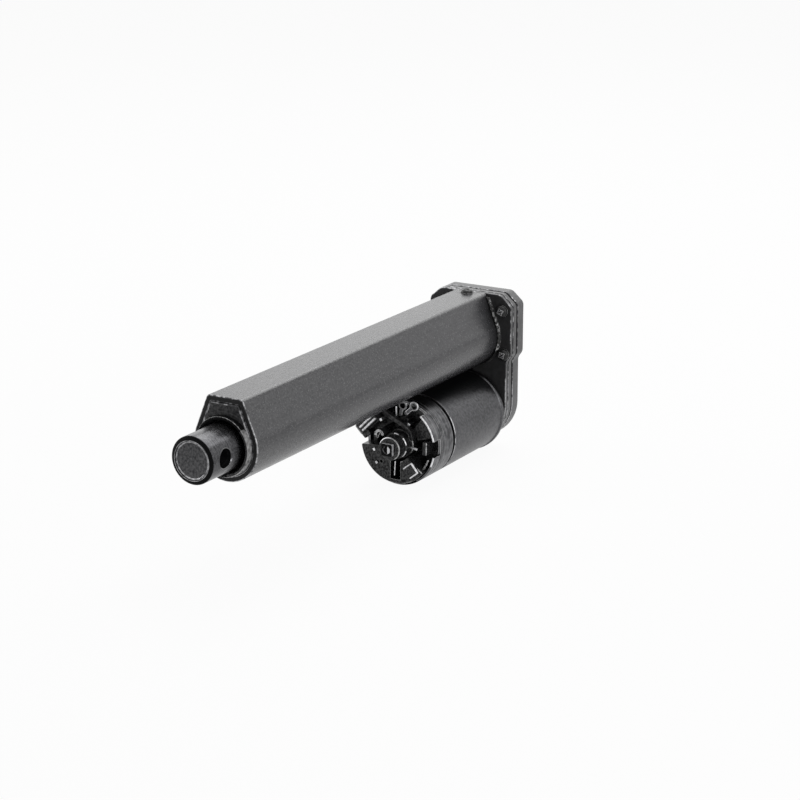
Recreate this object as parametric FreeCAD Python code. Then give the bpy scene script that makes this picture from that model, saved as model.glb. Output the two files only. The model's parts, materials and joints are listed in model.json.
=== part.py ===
"""Electric linear actuator, retracted, in millimetres.

The origin is the middle of the rear pin hole. +X is the way the rod extends, +Y runs along
both pin holes, +Z is up. The motor hangs under the tube, and a gear case joins them at the rear.
"""
import FreeCAD, Part
import math
import os

V = FreeCAD.Vector
ALONG_X, ALONG_Y, ALONG_Z = V(1, 0, 0), V(0, 1, 0), V(0, 0, 1)
TURN_TO_X = FreeCAD.Rotation(ALONG_Z, ALONG_X)
TURN_TO_BACK = FreeCAD.Rotation(ALONG_Z, V(-1, 0, 0))

# Overall lengths
PIN_TO_PIN = 190.5
STROKE = 101.6
PIN_HOLE_R = 3.2
PIN_TO_TIP = 7.4
TIP_X = PIN_TO_PIN + PIN_TO_TIP
TUBE_FRONT = 179.4
CASE_FRONT = 20.0
ROD_R = 15.875 / 2
ROD_BORE_R = 6.35

# Cover tube section: a flat top, tangent sides and a round belly about the rod axis
TUBE_TOP = 15.85
TUBE_FLAT_HALF = 6.7
TUBE_BELLY_R = 12.15
TUBE_WALL = 2.0
TUBE_EDGE_R = 0.9
TUBE_RIM = 0.25
SIDE_TILT = math.atan2(TUBE_TOP, TUBE_FLAT_HALF) - math.acos(
    TUBE_BELLY_R / math.hypot(TUBE_TOP, TUBE_FLAT_HALF))
SEAL, SEAL_LENGTH = 0.9, 1.2
SLIDE_GAP = 0.3
RUN_GAP = 0.04

# Gear case layers, counted back from the front plate
PLATE = 2.0
MIDDLE = 2.4
GASKET = 1.0
GASKET_INSET = 0.45
COVER = 5.4
COVER_WALL = 2.0
PLATE_BACK = CASE_FRONT - PLATE
GASKET_FRONT = PLATE_BACK - MIDDLE
COVER_FRONT = GASKET_FRONT - GASKET
COVER_BACK = COVER_FRONT - COVER
COVER_FLOOR = COVER_BACK + COVER_WALL

# Gear case outline
CASE_TOP = 15.95
CASE_TOP_HALF = 12.5
CASE_HALF = 17.1
CASE_SHOULDER = 11.9
CASE_STEP_TOP = -7.0
CASE_STEP_LOW = -9.5
CASE_LOW_HALF = 15.25
CASE_ROUND_Z = -26.3
CASE_CORNER_R = 1.4
COVER_BEVEL = 1.0
CASE_RIM = 0.3

# Mounting lug behind the rear cover
LUG_HALF = 4.2
LUG_R = 7.0
LUG_ROOT_HALF = 9.5
LUG_BEVEL = 0.6
LUG_SINK = 0.5

# Gear train: three parallel axes in one upright line
MODULE = 0.6
PRESSURE = math.radians(20)
ADDENDUM = 0.75 * MODULE
DEDENDUM = 1.0 * MODULE
THINNING = 0.06
MOTOR_TEETH, WHEEL_TEETH = 12, 38
PINION_TEETH, OUTPUT_TEETH = 13, 34
IDLER_Z = -MODULE * (PINION_TEETH + OUTPUT_TEETH) / 2
MOTOR_Z = IDLER_Z - MODULE * (MOTOR_TEETH + WHEEL_TEETH) / 2
CHAMBER_GAP = 0.7
FACE_GAP = 0.4
OUTPUT_BACK = 15.0
OUTPUT_FRONT = PLATE_BACK - FACE_GAP
WHEEL_BACK = COVER_FLOOR + FACE_GAP
WHEEL_FRONT = OUTPUT_BACK - 0.3

# Screw and bearing
LEAD = 3.175
SCREW_CORE_R = 3.9
SCREW_CREST_R = 9.525 / 2
THREAD_ROOT, THREAD_FLANK = 0.34, 0.16
JOURNAL_R = 4.0
THREAD_START, SCREW_PLAIN_END = 30.0, 164.0
SCREW_TIP = 169.0
SCREW_TIP_R = 3.0
HUB_R = 5.0
PLATE_BORE_R = HUB_R + 1.0
COLLAR_R = HUB_R + 0.4
BEARING_R, BEARING_W = 8.0, 5.0
BEARING_FRONT = CASE_FRONT + BEARING_W
BEARING_LIP = 1.5
BALL_R, BALL_PITCH_R, BALL_COUNT = 1.0, 6.0, 11
BALL_GAP, RACE_GAP = 0.05, 0.6
COLLAR_FRONT = BEARING_FRONT + 3.0
TIP_GUIDE_R = ROD_BORE_R - 0.1
SPIGOT_FRONT = 36.0
BUMPER = 2.0

# Nut and rod ends
CARRIER_BACK = SPIGOT_FRONT + BUMPER + 0.5
CARRIER_LENGTH = 20.0
NUT_BACK, NUT_STEP, NUT_FRONT = 40.0, 46.0, 60.0
NUT_FLANGE_R = 8.5
NUT_BORE_R = SCREW_CREST_R + 0.14
CARRIER_BORE_R = NUT_BORE_R + 0.6
PLUG_BACK = CARRIER_BACK + CARRIER_LENGTH + STROKE + BUMPER + 0.5
PLUG_FRONT = TUBE_FRONT - 0.3
PLUG_BORE_R = 9.6
NOSE_R, NOSE_BORE_R, NOSE_RIM = 10.0, 8.9, 0.4
NOSE_FRONT = TUBE_FRONT + 2.4
WIPER_FRONT, WIPER_BACK, WIPER_LIP = 177.4, 173.4, 0.6
END_PLUG_BACK = 182.0
END_PLUG_RECESS = 0.25
ROD_CHAMFER = 0.8
NUT_PIN_R, NUT_PIN, NUT_PIN_START = 1.0, 3.6, 5.4

# Motor, all about its own axis
CAN_R, CAN_WALL, CAN_END = 15.1, 1.5, 1.2
CAN_FRONT = 58.0
CAN_RIM = 0.35
CAN_BOSS_R = 4.6
CAN_BUSH_R = 4.0
BOSS_BACK = PLATE_BACK + 0.4
BEAD_R, BEAD = 15.5, 1.6
SEAM = 0.5
BAND_BACK = CAN_FRONT + SEAM
BAND_FRONT = 72.6
BAND_WALL = 0.9
BAND_RIM = 0.3
BAND_BORE_R = CAN_R - BAND_WALL
NOTCHES = [(-11, 12), (168, 191), (52, 128)]
NOTCH_FLOOR = 68.4
SHAFT_R, SHAFT_CHAMFER = 1.5, 0.3
AIR_GAP = 0.5
MAGNET, MAGNET_HALF_ANGLE = 3.2, 62
MAGNET_R = CAN_R - CAN_WALL
CORE_R = MAGNET_R - MAGNET - AIR_GAP
CORE_BACK, CORE_FRONT = 29.0, 52.0
MAGNET_BACK, MAGNET_FRONT = CORE_BACK - 2.0, CORE_FRONT + 1.0
CORE_HUB_R, WEB_HALF, SHOE, SHOE_HALF_ANGLE = 4.0, 1.2, 1.5, 31
WINDING_HALF_ANGLE, WINDING_OVERHANG, WINDING_GAP = 17.5, 2.5, 0.2
POLES = 5
COMMUTATOR_R, COMMUTATOR_SLOT = 4.6, 0.8

# Brush cap, with its forms placed by radius and angle about the motor's axis
SPIGOT_R = CAN_R - CAN_WALL
SPIGOT_WALL = 1.0
CAP_BACK = 63.0
CAP_FLOOR = 66.0
CAP_BUSH_R, CAP_BUSH_BACK = 3.2, 1.5
CAP_SPIGOT = 3.0
CAP_GAP = 0.4
PAD_FRONT = BAND_FRONT + 0.1
PAD_IN_R, PAD_ANGLES = 7.0, (192, 322)
TOWER = [(5.6, 71.5), (4.9, 75.0), (4.3, 79.0)]
TOWER_FRONT = TOWER[-1][1]
SHAFT_FRONT = TOWER_FRONT + 1.6
HOOD_R, HOOD_OUT_R, HOOD_ANGLES, HOOD_FRONT = 6.6, 8.2, (124, 178), 75.0
BLOCK_ANGLE, BLOCK_IN_R, BLOCK_OUT_R = 135, 11.2, 15.1
BLOCK_HALF, BLOCK_SHIFT, BLOCK_BEVEL = 5.2, 3.3, 1.5
BLOCK_FRONT = BAND_FRONT + 3.6
RIGHT_PAD_R, RIGHT_PAD_ANGLES, RIGHT_PAD_FRONT = 6.8, (15, 50), 70.2
ARM_BENDS = [(-7.4, 11.3), (1.8, 7.2), (4.5, 4.9), (5.1, 2.6)]
ARM_HALF, ARM_BACK, ARM_FRONT = 0.75, RIGHT_PAD_FRONT, 72.4
TAB_ANGLES, TAB_HALF, TAB_IN_R, TAB_OUT_R, TAB_FRONT = (-1, 181), 2.4, 9.8, 11.5, 72.4
SLOT_ANGLE, SLOT_HALF, SLOT_R, SLOT_OUT_R = -97, 2.05, 6.3, 13.3
SLOT_FLOOR = CAP_FLOOR + 1.2
BLADE_HALF, BLADE_OUT_R = 0.3, 12.4
RIB_HALF, RIB_Y, RIB_LOW, RIB_HIGH, RIB_FRONT = 0.35, -2.1, 8.3, 13.2, 70.4
SPOKES, SPOKE_HALF, SPOKE_OUT_R, SPOKE_FRONT = (32, 82), 0.8, 9.0, 69.0

# Brushes and terminals
BRUSH_ANGLE = -60
BRUSH_HALF = 1.6
BRUSH_OUT_R = 9.0
BOX_HALF, BOX_IN_R, BOX_OUT_R, BOX_END = 2.2, 6.4, 12.2, 0.5
SQUARE_HALF, SQUARE_IN_R, SQUARE_OUT_R, SQUARE_RISE = 2.15, 8.3, 12.6, 0.9
SPRING_WIRE_R, SPRING_R, SPRING_TURNS = 0.22, 1.0, 4
TERMINALS = [((1.8, 11.2), (4.9, 14.1)), ((-0.6, 10.4), (0.3, 13.8))]
TERMINAL_X, TERMINAL, STEM_HALF = 69.4, 0.6, 0.9
EYE_R, EYE_HOLE_R = 1.75, 0.95
WASHER_R, WASHER_OUT_R, WASHER, WASHER_GAP = 2.4, 3.4, 0.5, 0.3
PRONGS, PRONG_HALF_ANGLE = 6, 20

# Fasteners
CASE_SCREW_R = 1.5
CASE_HEAD_R, CASE_HEAD = 2.3, 1.7
FRONT_SCREW_TIP = COVER_BACK + 1.6
REAR_SCREW_TIP = CASE_FRONT - 0.4
FRONT_SCREWS = [(13.4, 9.9), (-13.4, 9.9), (14.2, -6.5), (-14.2, -6.5)]
REAR_SCREWS = [(9.5, -34.5), (-9.5, -34.5)]
SMALL_SCREW_R = 1.25
SINK_R, SINK_DEPTH = 2.2, 0.95
SINK_SLOT, SINK_SLOT_HALF, SINK_SLOT_LONG = 0.4, 0.25, 1.4
PLATE_SCREWS = [(4.2, 11.0), (-4.2, 11.0)]
MOTOR_SCREWS = [(6.5, MOTOR_Z), (-6.5, MOTOR_Z)]
TUBE_SCREW_X = 22.6
TUBE_HEAD_R, TUBE_HEAD = 2.1, 1.4
TUBE_SCREW = 6.0
PLATE_SCREW = 6.0
IDLER_PIN_R = 1.5
IDLER_PIN_SKIN = 0.7
IDLER_HUB_R = 3.0
GEAR_PIN_R, GEAR_PIN_HALF = 0.8, HUB_R - 0.1


def cyl(r, x0, x1, y=0.0, z=0.0):
    """A cylinder along X from x0 to x1."""
    return Part.makeCylinder(r, x1 - x0, V(x0, y, z), ALONG_X)


def ring(r_out, r_in, x0, x1, y=0.0, z=0.0):
    """A round sleeve along X."""
    return cyl(r_out, x0, x1, y, z).cut(cyl(r_in, x0, x1, y, z))


def cone(r0, r1, x0, x1, y=0.0, z=0.0):
    """A cut-off cone along X from radius r0 at x0 to radius r1 at x1."""
    return Part.makeCone(r0, r1, x1 - x0, V(x0, y, z), ALONG_X)


def across(r, x, half, z=0.0):
    """A cylinder along Y, centred on the XZ plane."""
    return Part.makeCylinder(r, 2 * half, V(x, -half, z), ALONG_Y)


def block(x0, x1, y0, y1, z0, z1):
    """A box between two corners."""
    return Part.makeBox(x1 - x0, y1 - y0, z1 - z0, V(x0, y0, z0))


def polar(r, degrees, x=0.0, z=0.0):
    """A point at a radius and angle about an axis along X; 0 is +Y and 90 is +Z."""
    a = math.radians(degrees)
    return V(x, r * math.cos(a), z + r * math.sin(a))


def sector(r_in, r_out, a0, a1, x0, x1, z):
    """A piece of a round sleeve between two angles."""
    mid = (a0 + a1) / 2
    outer = Part.Arc(polar(r_out, a0, x0, z), polar(r_out, mid, x0, z), polar(r_out, a1, x0, z))
    inner = Part.Arc(polar(r_in, a1, x0, z), polar(r_in, mid, x0, z), polar(r_in, a0, x0, z))
    sides = [Part.LineSegment(outer.EndPoint, inner.StartPoint),
             Part.LineSegment(inner.EndPoint, outer.StartPoint)]
    edges = [outer.toShape(), sides[0].toShape(), inner.toShape(), sides[1].toShape()]
    return Part.Face(Part.Wire(edges)).extrude(V(x1 - x0, 0, 0))


def radial_block(r0, r1, half, x0, x1, degrees, z):
    """A box that runs outwards from an axis along X, at an angle."""
    shape = block(x0, x1, r0, r1, -half, half)
    shape.rotate(V(0, 0, 0), ALONG_X, degrees)
    shape.translate(V(0, 0, z))
    return shape


def prism(outline, x0, x1):
    """A flat outline, given as a function of X, drawn out along X."""
    return Part.Face(outline(x0)).extrude(V(x1 - x0, 0, 0))


def joined(shapes):
    """One clean solid from solids that touch or overlap."""
    return shapes[0].multiFuse(shapes[1:]).removeSplitter()


def edges_along_x(shape, picked):
    """The straight edges along X whose (y, z) passes a test."""
    found = []
    for edge in shape.Edges:
        if len(edge.Vertexes) != 2:
            continue
        a, b = edge.Vertexes[0].Point, edge.Vertexes[1].Point
        if abs(a.y - b.y) < 1e-6 and abs(a.z - b.z) < 1e-6 and picked(a.y, a.z):
            found.append(edge)
    return found


def edges_at_x(shape, x):
    """The edges that lie in the plane at x."""
    return [e for e in shape.Edges if abs(e.BoundBox.XMin - x) < 1e-4 and abs(e.BoundBox.XMax - x) < 1e-4]


def tube_outline(inset):
    """The tube's section, moved inwards by inset all round, as a function of X."""
    belly, top = TUBE_BELLY_R - inset, TUBE_TOP - inset
    half = (belly - top * math.sin(SIDE_TILT)) / math.cos(SIDE_TILT)
    side = V(0, belly * math.cos(SIDE_TILT), belly * math.sin(SIDE_TILT))

    def at(x):
        left, right = V(x, -side.y, side.z), V(x, side.y, side.z)
        corners = [V(x, -half, top), V(x, half, top)]
        return Part.Wire([Part.LineSegment(left, corners[0]).toShape(),
                          Part.LineSegment(corners[0], corners[1]).toShape(),
                          Part.LineSegment(corners[1], right).toShape(),
                          Part.Arc(right, V(x, 0, -belly), left).toShape()])
    return at


def case_outline(x):
    """The gear case's outline: bevelled shoulders, a step in at the waist and a round foot."""
    right = [V(x, CASE_TOP_HALF, CASE_TOP), V(x, CASE_HALF, CASE_SHOULDER),
             V(x, CASE_HALF, CASE_STEP_TOP), V(x, CASE_LOW_HALF, CASE_STEP_LOW),
             V(x, CASE_LOW_HALF, CASE_ROUND_Z)]
    left = [V(p.x, -p.y, p.z) for p in reversed(right)]
    foot = Part.Arc(right[-1], V(x, 0, CASE_ROUND_Z - CASE_LOW_HALF), left[0]).toShape()
    runs = [Part.LineSegment(a, b).toShape()
            for side in (right, left) for a, b in zip(side, side[1:])]
    top = Part.LineSegment(left[-1], right[0]).toShape()
    return Part.Wire(runs[:4] + [foot] + runs[4:] + [top])


def case_slab(x0, x1):
    """A layer of the gear case with its upright corners rounded."""
    slab = prism(case_outline, x0, x1)
    corners = edges_along_x(slab, lambda y, z: z > CASE_ROUND_Z + 1)
    return slab.makeFillet(CASE_CORNER_R, corners)


def chambers(x0, x1):
    """The round hollows that the gears turn in, as one cutter."""
    output_r = MODULE * OUTPUT_TEETH / 2 + ADDENDUM + CHAMBER_GAP
    wheel_r = MODULE * WHEEL_TEETH / 2 + ADDENDUM + CHAMBER_GAP
    motor_r = MOTOR_SCREWS[0][0] + SINK_R
    return joined([cyl(output_r, x0, x1), cyl(wheel_r, x0, x1, 0, IDLER_Z), cyl(motor_r, x0, x1, 0, MOTOR_Z)])


def gear(teeth, x0, x1, z, bore_r, first_tooth):
    """A spur gear with involute flanks. first_tooth is the angle of one tooth's middle."""
    pitch_r = MODULE * teeth / 2
    base_r, tip_r, root_r = pitch_r * math.cos(PRESSURE), pitch_r + ADDENDUM, pitch_r - DEDENDUM
    flank_r = max(base_r, root_r)
    half_pitch = (math.pi * MODULE / 2 - THINNING) / (2 * pitch_r)

    def involute(r):
        return math.tan(math.acos(base_r / r)) - math.acos(base_r / r) if r > base_r else 0.0

    def half_angle(r):
        return math.degrees(half_pitch + involute(pitch_r) - involute(r))

    def flank(middle, side, radii):
        return [polar(r, middle + side * half_angle(r), x0, z) for r in radii]

    def straight(a, b):
        return [Part.LineSegment(a, b)] if (a - b).Length > 1e-6 else []

    radii = [flank_r, (flank_r + tip_r) / 2, tip_r]
    edges = []
    for i in range(teeth):
        middle = first_tooth + 360 * i / teeth
        following = middle + 360 / teeth
        rise, fall = flank(middle, -1, radii), flank(middle, 1, reversed(radii))
        feet = [polar(root_r, middle - half_angle(flank_r), x0, z),
                polar(root_r, middle + half_angle(flank_r), x0, z),
                polar(root_r, following - half_angle(flank_r), x0, z)]
        edges += straight(feet[0], rise[0])
        edges += [Part.Arc(*rise), Part.Arc(rise[2], polar(tip_r, middle, x0, z), fall[0]), Part.Arc(*fall)]
        edges += straight(fall[2], feet[1])
        edges.append(Part.Arc(feet[1], polar(root_r, middle + 180 / teeth, x0, z), feet[2]))
    face = Part.Face(Part.Wire([e.toShape() for e in edges]))
    return face.extrude(V(x1 - x0, 0, 0)).cut(cyl(bore_r, x0, x1, 0, z))


def cross_recess(head_r, depth):
    """A cutter for a cross recess, pointing down -Z from z = 0."""
    arm, width = 0.55 * head_r, 0.17 * head_r
    return joined([Part.makeBox(2 * arm, 2 * width, depth, V(-arm, -width, -depth)),
                   Part.makeBox(2 * width, 2 * arm, depth, V(-width, -arm, -depth))])


def pan_screw(head_r, head, shank_r, length, place, turn):
    """A pan-head screw: the head stands on z = 0 before it is turned and put in place."""
    top = Part.makeCylinder(head_r, head)
    top = top.makeFillet(0.45 * head, [e for e in top.Edges if e.BoundBox.ZMin > head - 1e-4])
    cut = cross_recess(head_r, 0.6 * head)
    cut.translate(V(0, 0, head))
    screw = joined([top.cut(cut), Part.makeCylinder(shank_r, length, V(0, 0, -length))])
    screw.Placement = FreeCAD.Placement(place, turn)
    return screw


def sunk_screw(x_face, x_tip, y, z):
    """A countersunk screw driven along +X, its head flush with the face at x_face."""
    head = Part.makeCone(SINK_R, SMALL_SCREW_R, SINK_DEPTH, V(x_face, y, z), ALONG_X)
    slot = block(x_face, x_face + SINK_SLOT, y - SINK_SLOT_LONG, y + SINK_SLOT_LONG,
                 z - SINK_SLOT_HALF, z + SINK_SLOT_HALF)
    return joined([head, cyl(SMALL_SCREW_R, x_face + SINK_DEPTH, x_tip, y, z)]).cut(slot)


def tube_parts():
    """The cover tube with the plug, bush, wiper and bumper in its mouth, its foot seal and its screw."""
    outer = prism(tube_outline(0), CASE_FRONT, TUBE_FRONT)
    outer = outer.makeFillet(TUBE_EDGE_R, edges_along_x(outer, lambda y, z: z > TUBE_TOP - 0.01))
    tube = outer.cut(prism(tube_outline(TUBE_WALL), CASE_FRONT, TUBE_FRONT))
    tube = tube.makeChamfer(TUBE_RIM, edges_at_x(tube, TUBE_FRONT))
    tube = tube.cut(tube_screw_hole())

    nose = cyl(NOSE_R, PLUG_FRONT, NOSE_FRONT)
    nose = nose.makeFillet(NOSE_RIM, edges_at_x(nose, NOSE_FRONT))
    plug = joined([prism(tube_outline(TUBE_WALL), PLUG_BACK, PLUG_FRONT), nose])
    plug = plug.cut(cyl(PLUG_BORE_R, PLUG_BACK, WIPER_FRONT)).cut(cyl(NOSE_BORE_R, WIPER_FRONT, NOSE_FRONT))
    bush = ring(PLUG_BORE_R, ROD_R + RUN_GAP, PLUG_BACK, WIPER_BACK)
    wiper = cone(PLUG_BORE_R, ROD_R + WIPER_LIP, WIPER_BACK, WIPER_FRONT)
    wiper = wiper.cut(cyl(ROD_R + RUN_GAP, WIPER_BACK, WIPER_FRONT))
    front_bumper = prism(tube_outline(TUBE_WALL), PLUG_BACK - BUMPER, PLUG_BACK)
    front_bumper = front_bumper.cut(cyl(ROD_R + SLIDE_GAP, PLUG_BACK - BUMPER, PLUG_BACK))

    seal_front = CASE_FRONT + SEAL_LENGTH
    seal = prism(tube_outline(-SEAL), CASE_FRONT, seal_front)
    seal = seal.cut(prism(tube_outline(0), CASE_FRONT, seal_front))
    above = block(CASE_FRONT, seal_front, -CASE_HALF, CASE_HALF, TUBE_TOP - SEAL_LENGTH, CASE_TOP + SEAL)
    tube_screw = pan_screw(TUBE_HEAD_R, TUBE_HEAD, SMALL_SCREW_R, TUBE_SCREW,
                           V(TUBE_SCREW_X, 0, TUBE_TOP), FreeCAD.Rotation())
    return {"cover_tube": tube, "front_plug": plug, "guide_bush": bush, "rod_wiper": wiper,
            "front_bumper": front_bumper, "tube_seal": seal.cut(above), "tube_screw": tube_screw}


def tube_screw_hole():
    """A cutter for the hole that the tube screw fills, through the flat top and into the spigot."""
    return Part.makeCylinder(SMALL_SCREW_R, TUBE_SCREW, V(TUBE_SCREW_X, 0, TUBE_TOP - TUBE_SCREW), ALONG_Z)


def bearing_parts():
    """The spigot in the tube's rear end and the ball bearing that it holds."""
    throat_r = BEARING_R - BEARING_LIP
    spigot = prism(tube_outline(TUBE_WALL), CASE_FRONT, SPIGOT_FRONT)
    spigot = spigot.cut(cyl(BEARING_R, CASE_FRONT, BEARING_FRONT))
    spigot = spigot.cut(cyl(throat_r, BEARING_FRONT, SPIGOT_FRONT)).cut(tube_screw_hole())
    for y, z in PLATE_SCREWS:
        spigot = spigot.cut(cyl(SMALL_SCREW_R, CASE_FRONT, CASE_FRONT + PLATE_SCREW, y, z))
    middle = (CASE_FRONT + BEARING_FRONT) / 2
    groove = Part.makeTorus(BALL_PITCH_R, BALL_R + BALL_GAP, V(middle, 0, 0), ALONG_X)
    outer_ring = ring(BEARING_R, BALL_PITCH_R + RACE_GAP, CASE_FRONT, BEARING_FRONT).cut(groove)
    inner_ring = ring(BALL_PITCH_R - RACE_GAP, JOURNAL_R, CASE_FRONT, BEARING_FRONT).cut(groove)
    balls = [Part.makeSphere(BALL_R, polar(BALL_PITCH_R, 360 * i / BALL_COUNT, middle))
             for i in range(BALL_COUNT)]
    rear_bumper = prism(tube_outline(TUBE_WALL), SPIGOT_FRONT, SPIGOT_FRONT + BUMPER)
    rear_bumper = rear_bumper.cut(cyl(throat_r, SPIGOT_FRONT, SPIGOT_FRONT + BUMPER))
    return {"bearing_housing": spigot, "bearing_outer_ring": outer_ring, "bearing_inner_ring": inner_ring,
            "bearing_balls": Part.makeCompound(balls), "rear_bumper": rear_bumper}


def case_parts():
    """The gear case: front plate, middle layer, gasket, rear cover with its lug, and the screws."""
    plate = case_slab(PLATE_BACK, CASE_FRONT)
    plate = plate.makeChamfer(CASE_RIM, edges_at_x(plate, CASE_FRONT))
    plate = plate.cut(cyl(PLATE_BORE_R, PLATE_BACK, CASE_FRONT))
    plate = plate.cut(cyl(CAN_BOSS_R, PLATE_BACK, CASE_FRONT, 0, MOTOR_Z))
    plate = plate.cut(cyl(IDLER_PIN_R, PLATE_BACK, CASE_FRONT, 0, IDLER_Z))
    for y, z in PLATE_SCREWS + MOTOR_SCREWS:
        plate = plate.cut(cyl(SMALL_SCREW_R, PLATE_BACK, CASE_FRONT, y, z))
        plate = plate.cut(cone(SINK_R, SMALL_SCREW_R, PLATE_BACK, PLATE_BACK + SINK_DEPTH, y, z))

    middle = case_slab(GASKET_FRONT, PLATE_BACK).cut(chambers(GASKET_FRONT, PLATE_BACK))
    gasket_outline = Part.Face(case_outline(COVER_FRONT)).makeOffset2D(-GASKET_INSET)
    gasket = gasket_outline.extrude(V(GASKET, 0, 0)).cut(chambers(COVER_FRONT, GASKET_FRONT))

    pin_back = COVER_BACK + IDLER_PIN_SKIN
    cover = case_slab(COVER_BACK, COVER_FRONT)
    cover = cover.makeChamfer(COVER_BEVEL, edges_at_x(cover, COVER_BACK))
    cover = cover.makeChamfer(CASE_RIM, edges_at_x(cover, COVER_FRONT))
    cover = joined([cover, rear_lug()]).cut(across(PIN_HOLE_R, 0, LUG_HALF))
    cover = cover.cut(chambers(COVER_FLOOR, COVER_FRONT))
    cover = cover.cut(cyl(IDLER_PIN_R, pin_back, COVER_FLOOR, 0, IDLER_Z))

    for y, z in FRONT_SCREWS:
        hole = cyl(CASE_SCREW_R, FRONT_SCREW_TIP, CASE_FRONT, y, z)
        plate, middle, gasket, cover = [s.cut(hole) for s in (plate, middle, gasket, cover)]
    for y, z in REAR_SCREWS:
        hole = cyl(CASE_SCREW_R, COVER_BACK, REAR_SCREW_TIP, y, z)
        plate, middle, gasket, cover = [s.cut(hole) for s in (plate, middle, gasket, cover)]
    screws = [pan_screw(CASE_HEAD_R, CASE_HEAD, CASE_SCREW_R, CASE_FRONT - FRONT_SCREW_TIP,
                        V(CASE_FRONT, y, z), TURN_TO_X) for y, z in FRONT_SCREWS]
    screws += [pan_screw(CASE_HEAD_R, CASE_HEAD, CASE_SCREW_R, REAR_SCREW_TIP - COVER_BACK,
                         V(COVER_BACK, y, z), TURN_TO_BACK) for y, z in REAR_SCREWS]
    plate_screws = [sunk_screw(PLATE_BACK, CASE_FRONT + PLATE_SCREW, y, z) for y, z in PLATE_SCREWS]
    return {"front_plate": plate, "gear_case": middle, "case_gasket": gasket, "rear_cover": cover,
            "case_screws": Part.makeCompound(screws), "plate_screws": Part.makeCompound(plate_screws),
            "idler_pin": cyl(IDLER_PIN_R, pin_back, CASE_FRONT, 0, IDLER_Z)}


def rear_lug():
    """The mounting lug behind the rear cover: a tapered tongue with a round end about the pin hole."""
    reach = COVER_BACK + LUG_SINK
    lean = math.asin((LUG_ROOT_HALF - LUG_R) / math.hypot(reach, LUG_ROOT_HALF))
    touch = V(-LUG_R * math.sin(lean), -LUG_HALF, LUG_R * math.cos(lean))
    low = V(touch.x, touch.y, -touch.z)
    root = [V(reach, -LUG_HALF, LUG_ROOT_HALF), V(reach, -LUG_HALF, -LUG_ROOT_HALF)]
    wire = Part.Wire([Part.LineSegment(root[0], touch).toShape(),
                      Part.Arc(touch, V(-LUG_R, -LUG_HALF, 0), low).toShape(),
                      Part.LineSegment(low, root[1]).toShape(),
                      Part.LineSegment(root[1], root[0]).toShape()])
    lug = Part.Face(wire).extrude(V(0, 2 * LUG_HALF, 0))
    rim = [e for e in lug.Edges if abs(abs(e.BoundBox.YMin) - LUG_HALF) < 1e-4
           and abs(e.BoundBox.YMin - e.BoundBox.YMax) < 1e-4 and e.BoundBox.XMin < reach - LUG_SINK]
    return lug.makeChamfer(LUG_BEVEL, rim)


def thread_rings():
    """The threaded length of the screw, with the thread drawn as rings one lead apart."""
    root, flank = THREAD_ROOT * LEAD, THREAD_FLANK * LEAD
    points = [V(THREAD_START, 0, 0), V(THREAD_START, 0, SCREW_CORE_R)]
    for i in range(int((SCREW_PLAIN_END - THREAD_START) / LEAD)):
        x = THREAD_START + i * LEAD + root
        points += [V(x, 0, SCREW_CORE_R), V(x + flank, 0, SCREW_CREST_R),
                   V(x + LEAD - root - flank, 0, SCREW_CREST_R), V(x + LEAD - root, 0, SCREW_CORE_R)]
    points += [V(SCREW_PLAIN_END, 0, SCREW_CORE_R), V(SCREW_PLAIN_END, 0, 0), points[0]]
    return Part.Face(Part.makePolygon(points)).revolve(V(0, 0, 0), ALONG_X, 360)


def screw_parts():
    """The lead screw with its tip guide, output gear and gear pin."""
    core = joined([cyl(JOURNAL_R, OUTPUT_BACK, BEARING_FRONT), cyl(COLLAR_R, BEARING_FRONT, COLLAR_FRONT),
                   cyl(SCREW_CORE_R, COLLAR_FRONT, THREAD_START), thread_rings(),
                   cyl(SCREW_TIP_R, SCREW_PLAIN_END, SCREW_TIP)])
    tip_guide = ring(TIP_GUIDE_R, SCREW_TIP_R, SCREW_PLAIN_END, SCREW_TIP)
    output = gear(OUTPUT_TEETH, OUTPUT_BACK, OUTPUT_FRONT, 0, JOURNAL_R, 270 + 180 / OUTPUT_TEETH)
    output = joined([output, ring(HUB_R, JOURNAL_R, OUTPUT_FRONT, CASE_FRONT)])
    gear_pin = across(GEAR_PIN_R, (OUTPUT_FRONT + CASE_FRONT) / 2, GEAR_PIN_HALF)
    core, output = core.cut(gear_pin), output.cut(gear_pin)
    return {"lead_screw": core, "screw_tip_guide": tip_guide, "output_gear": output, "gear_pin": gear_pin}


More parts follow.
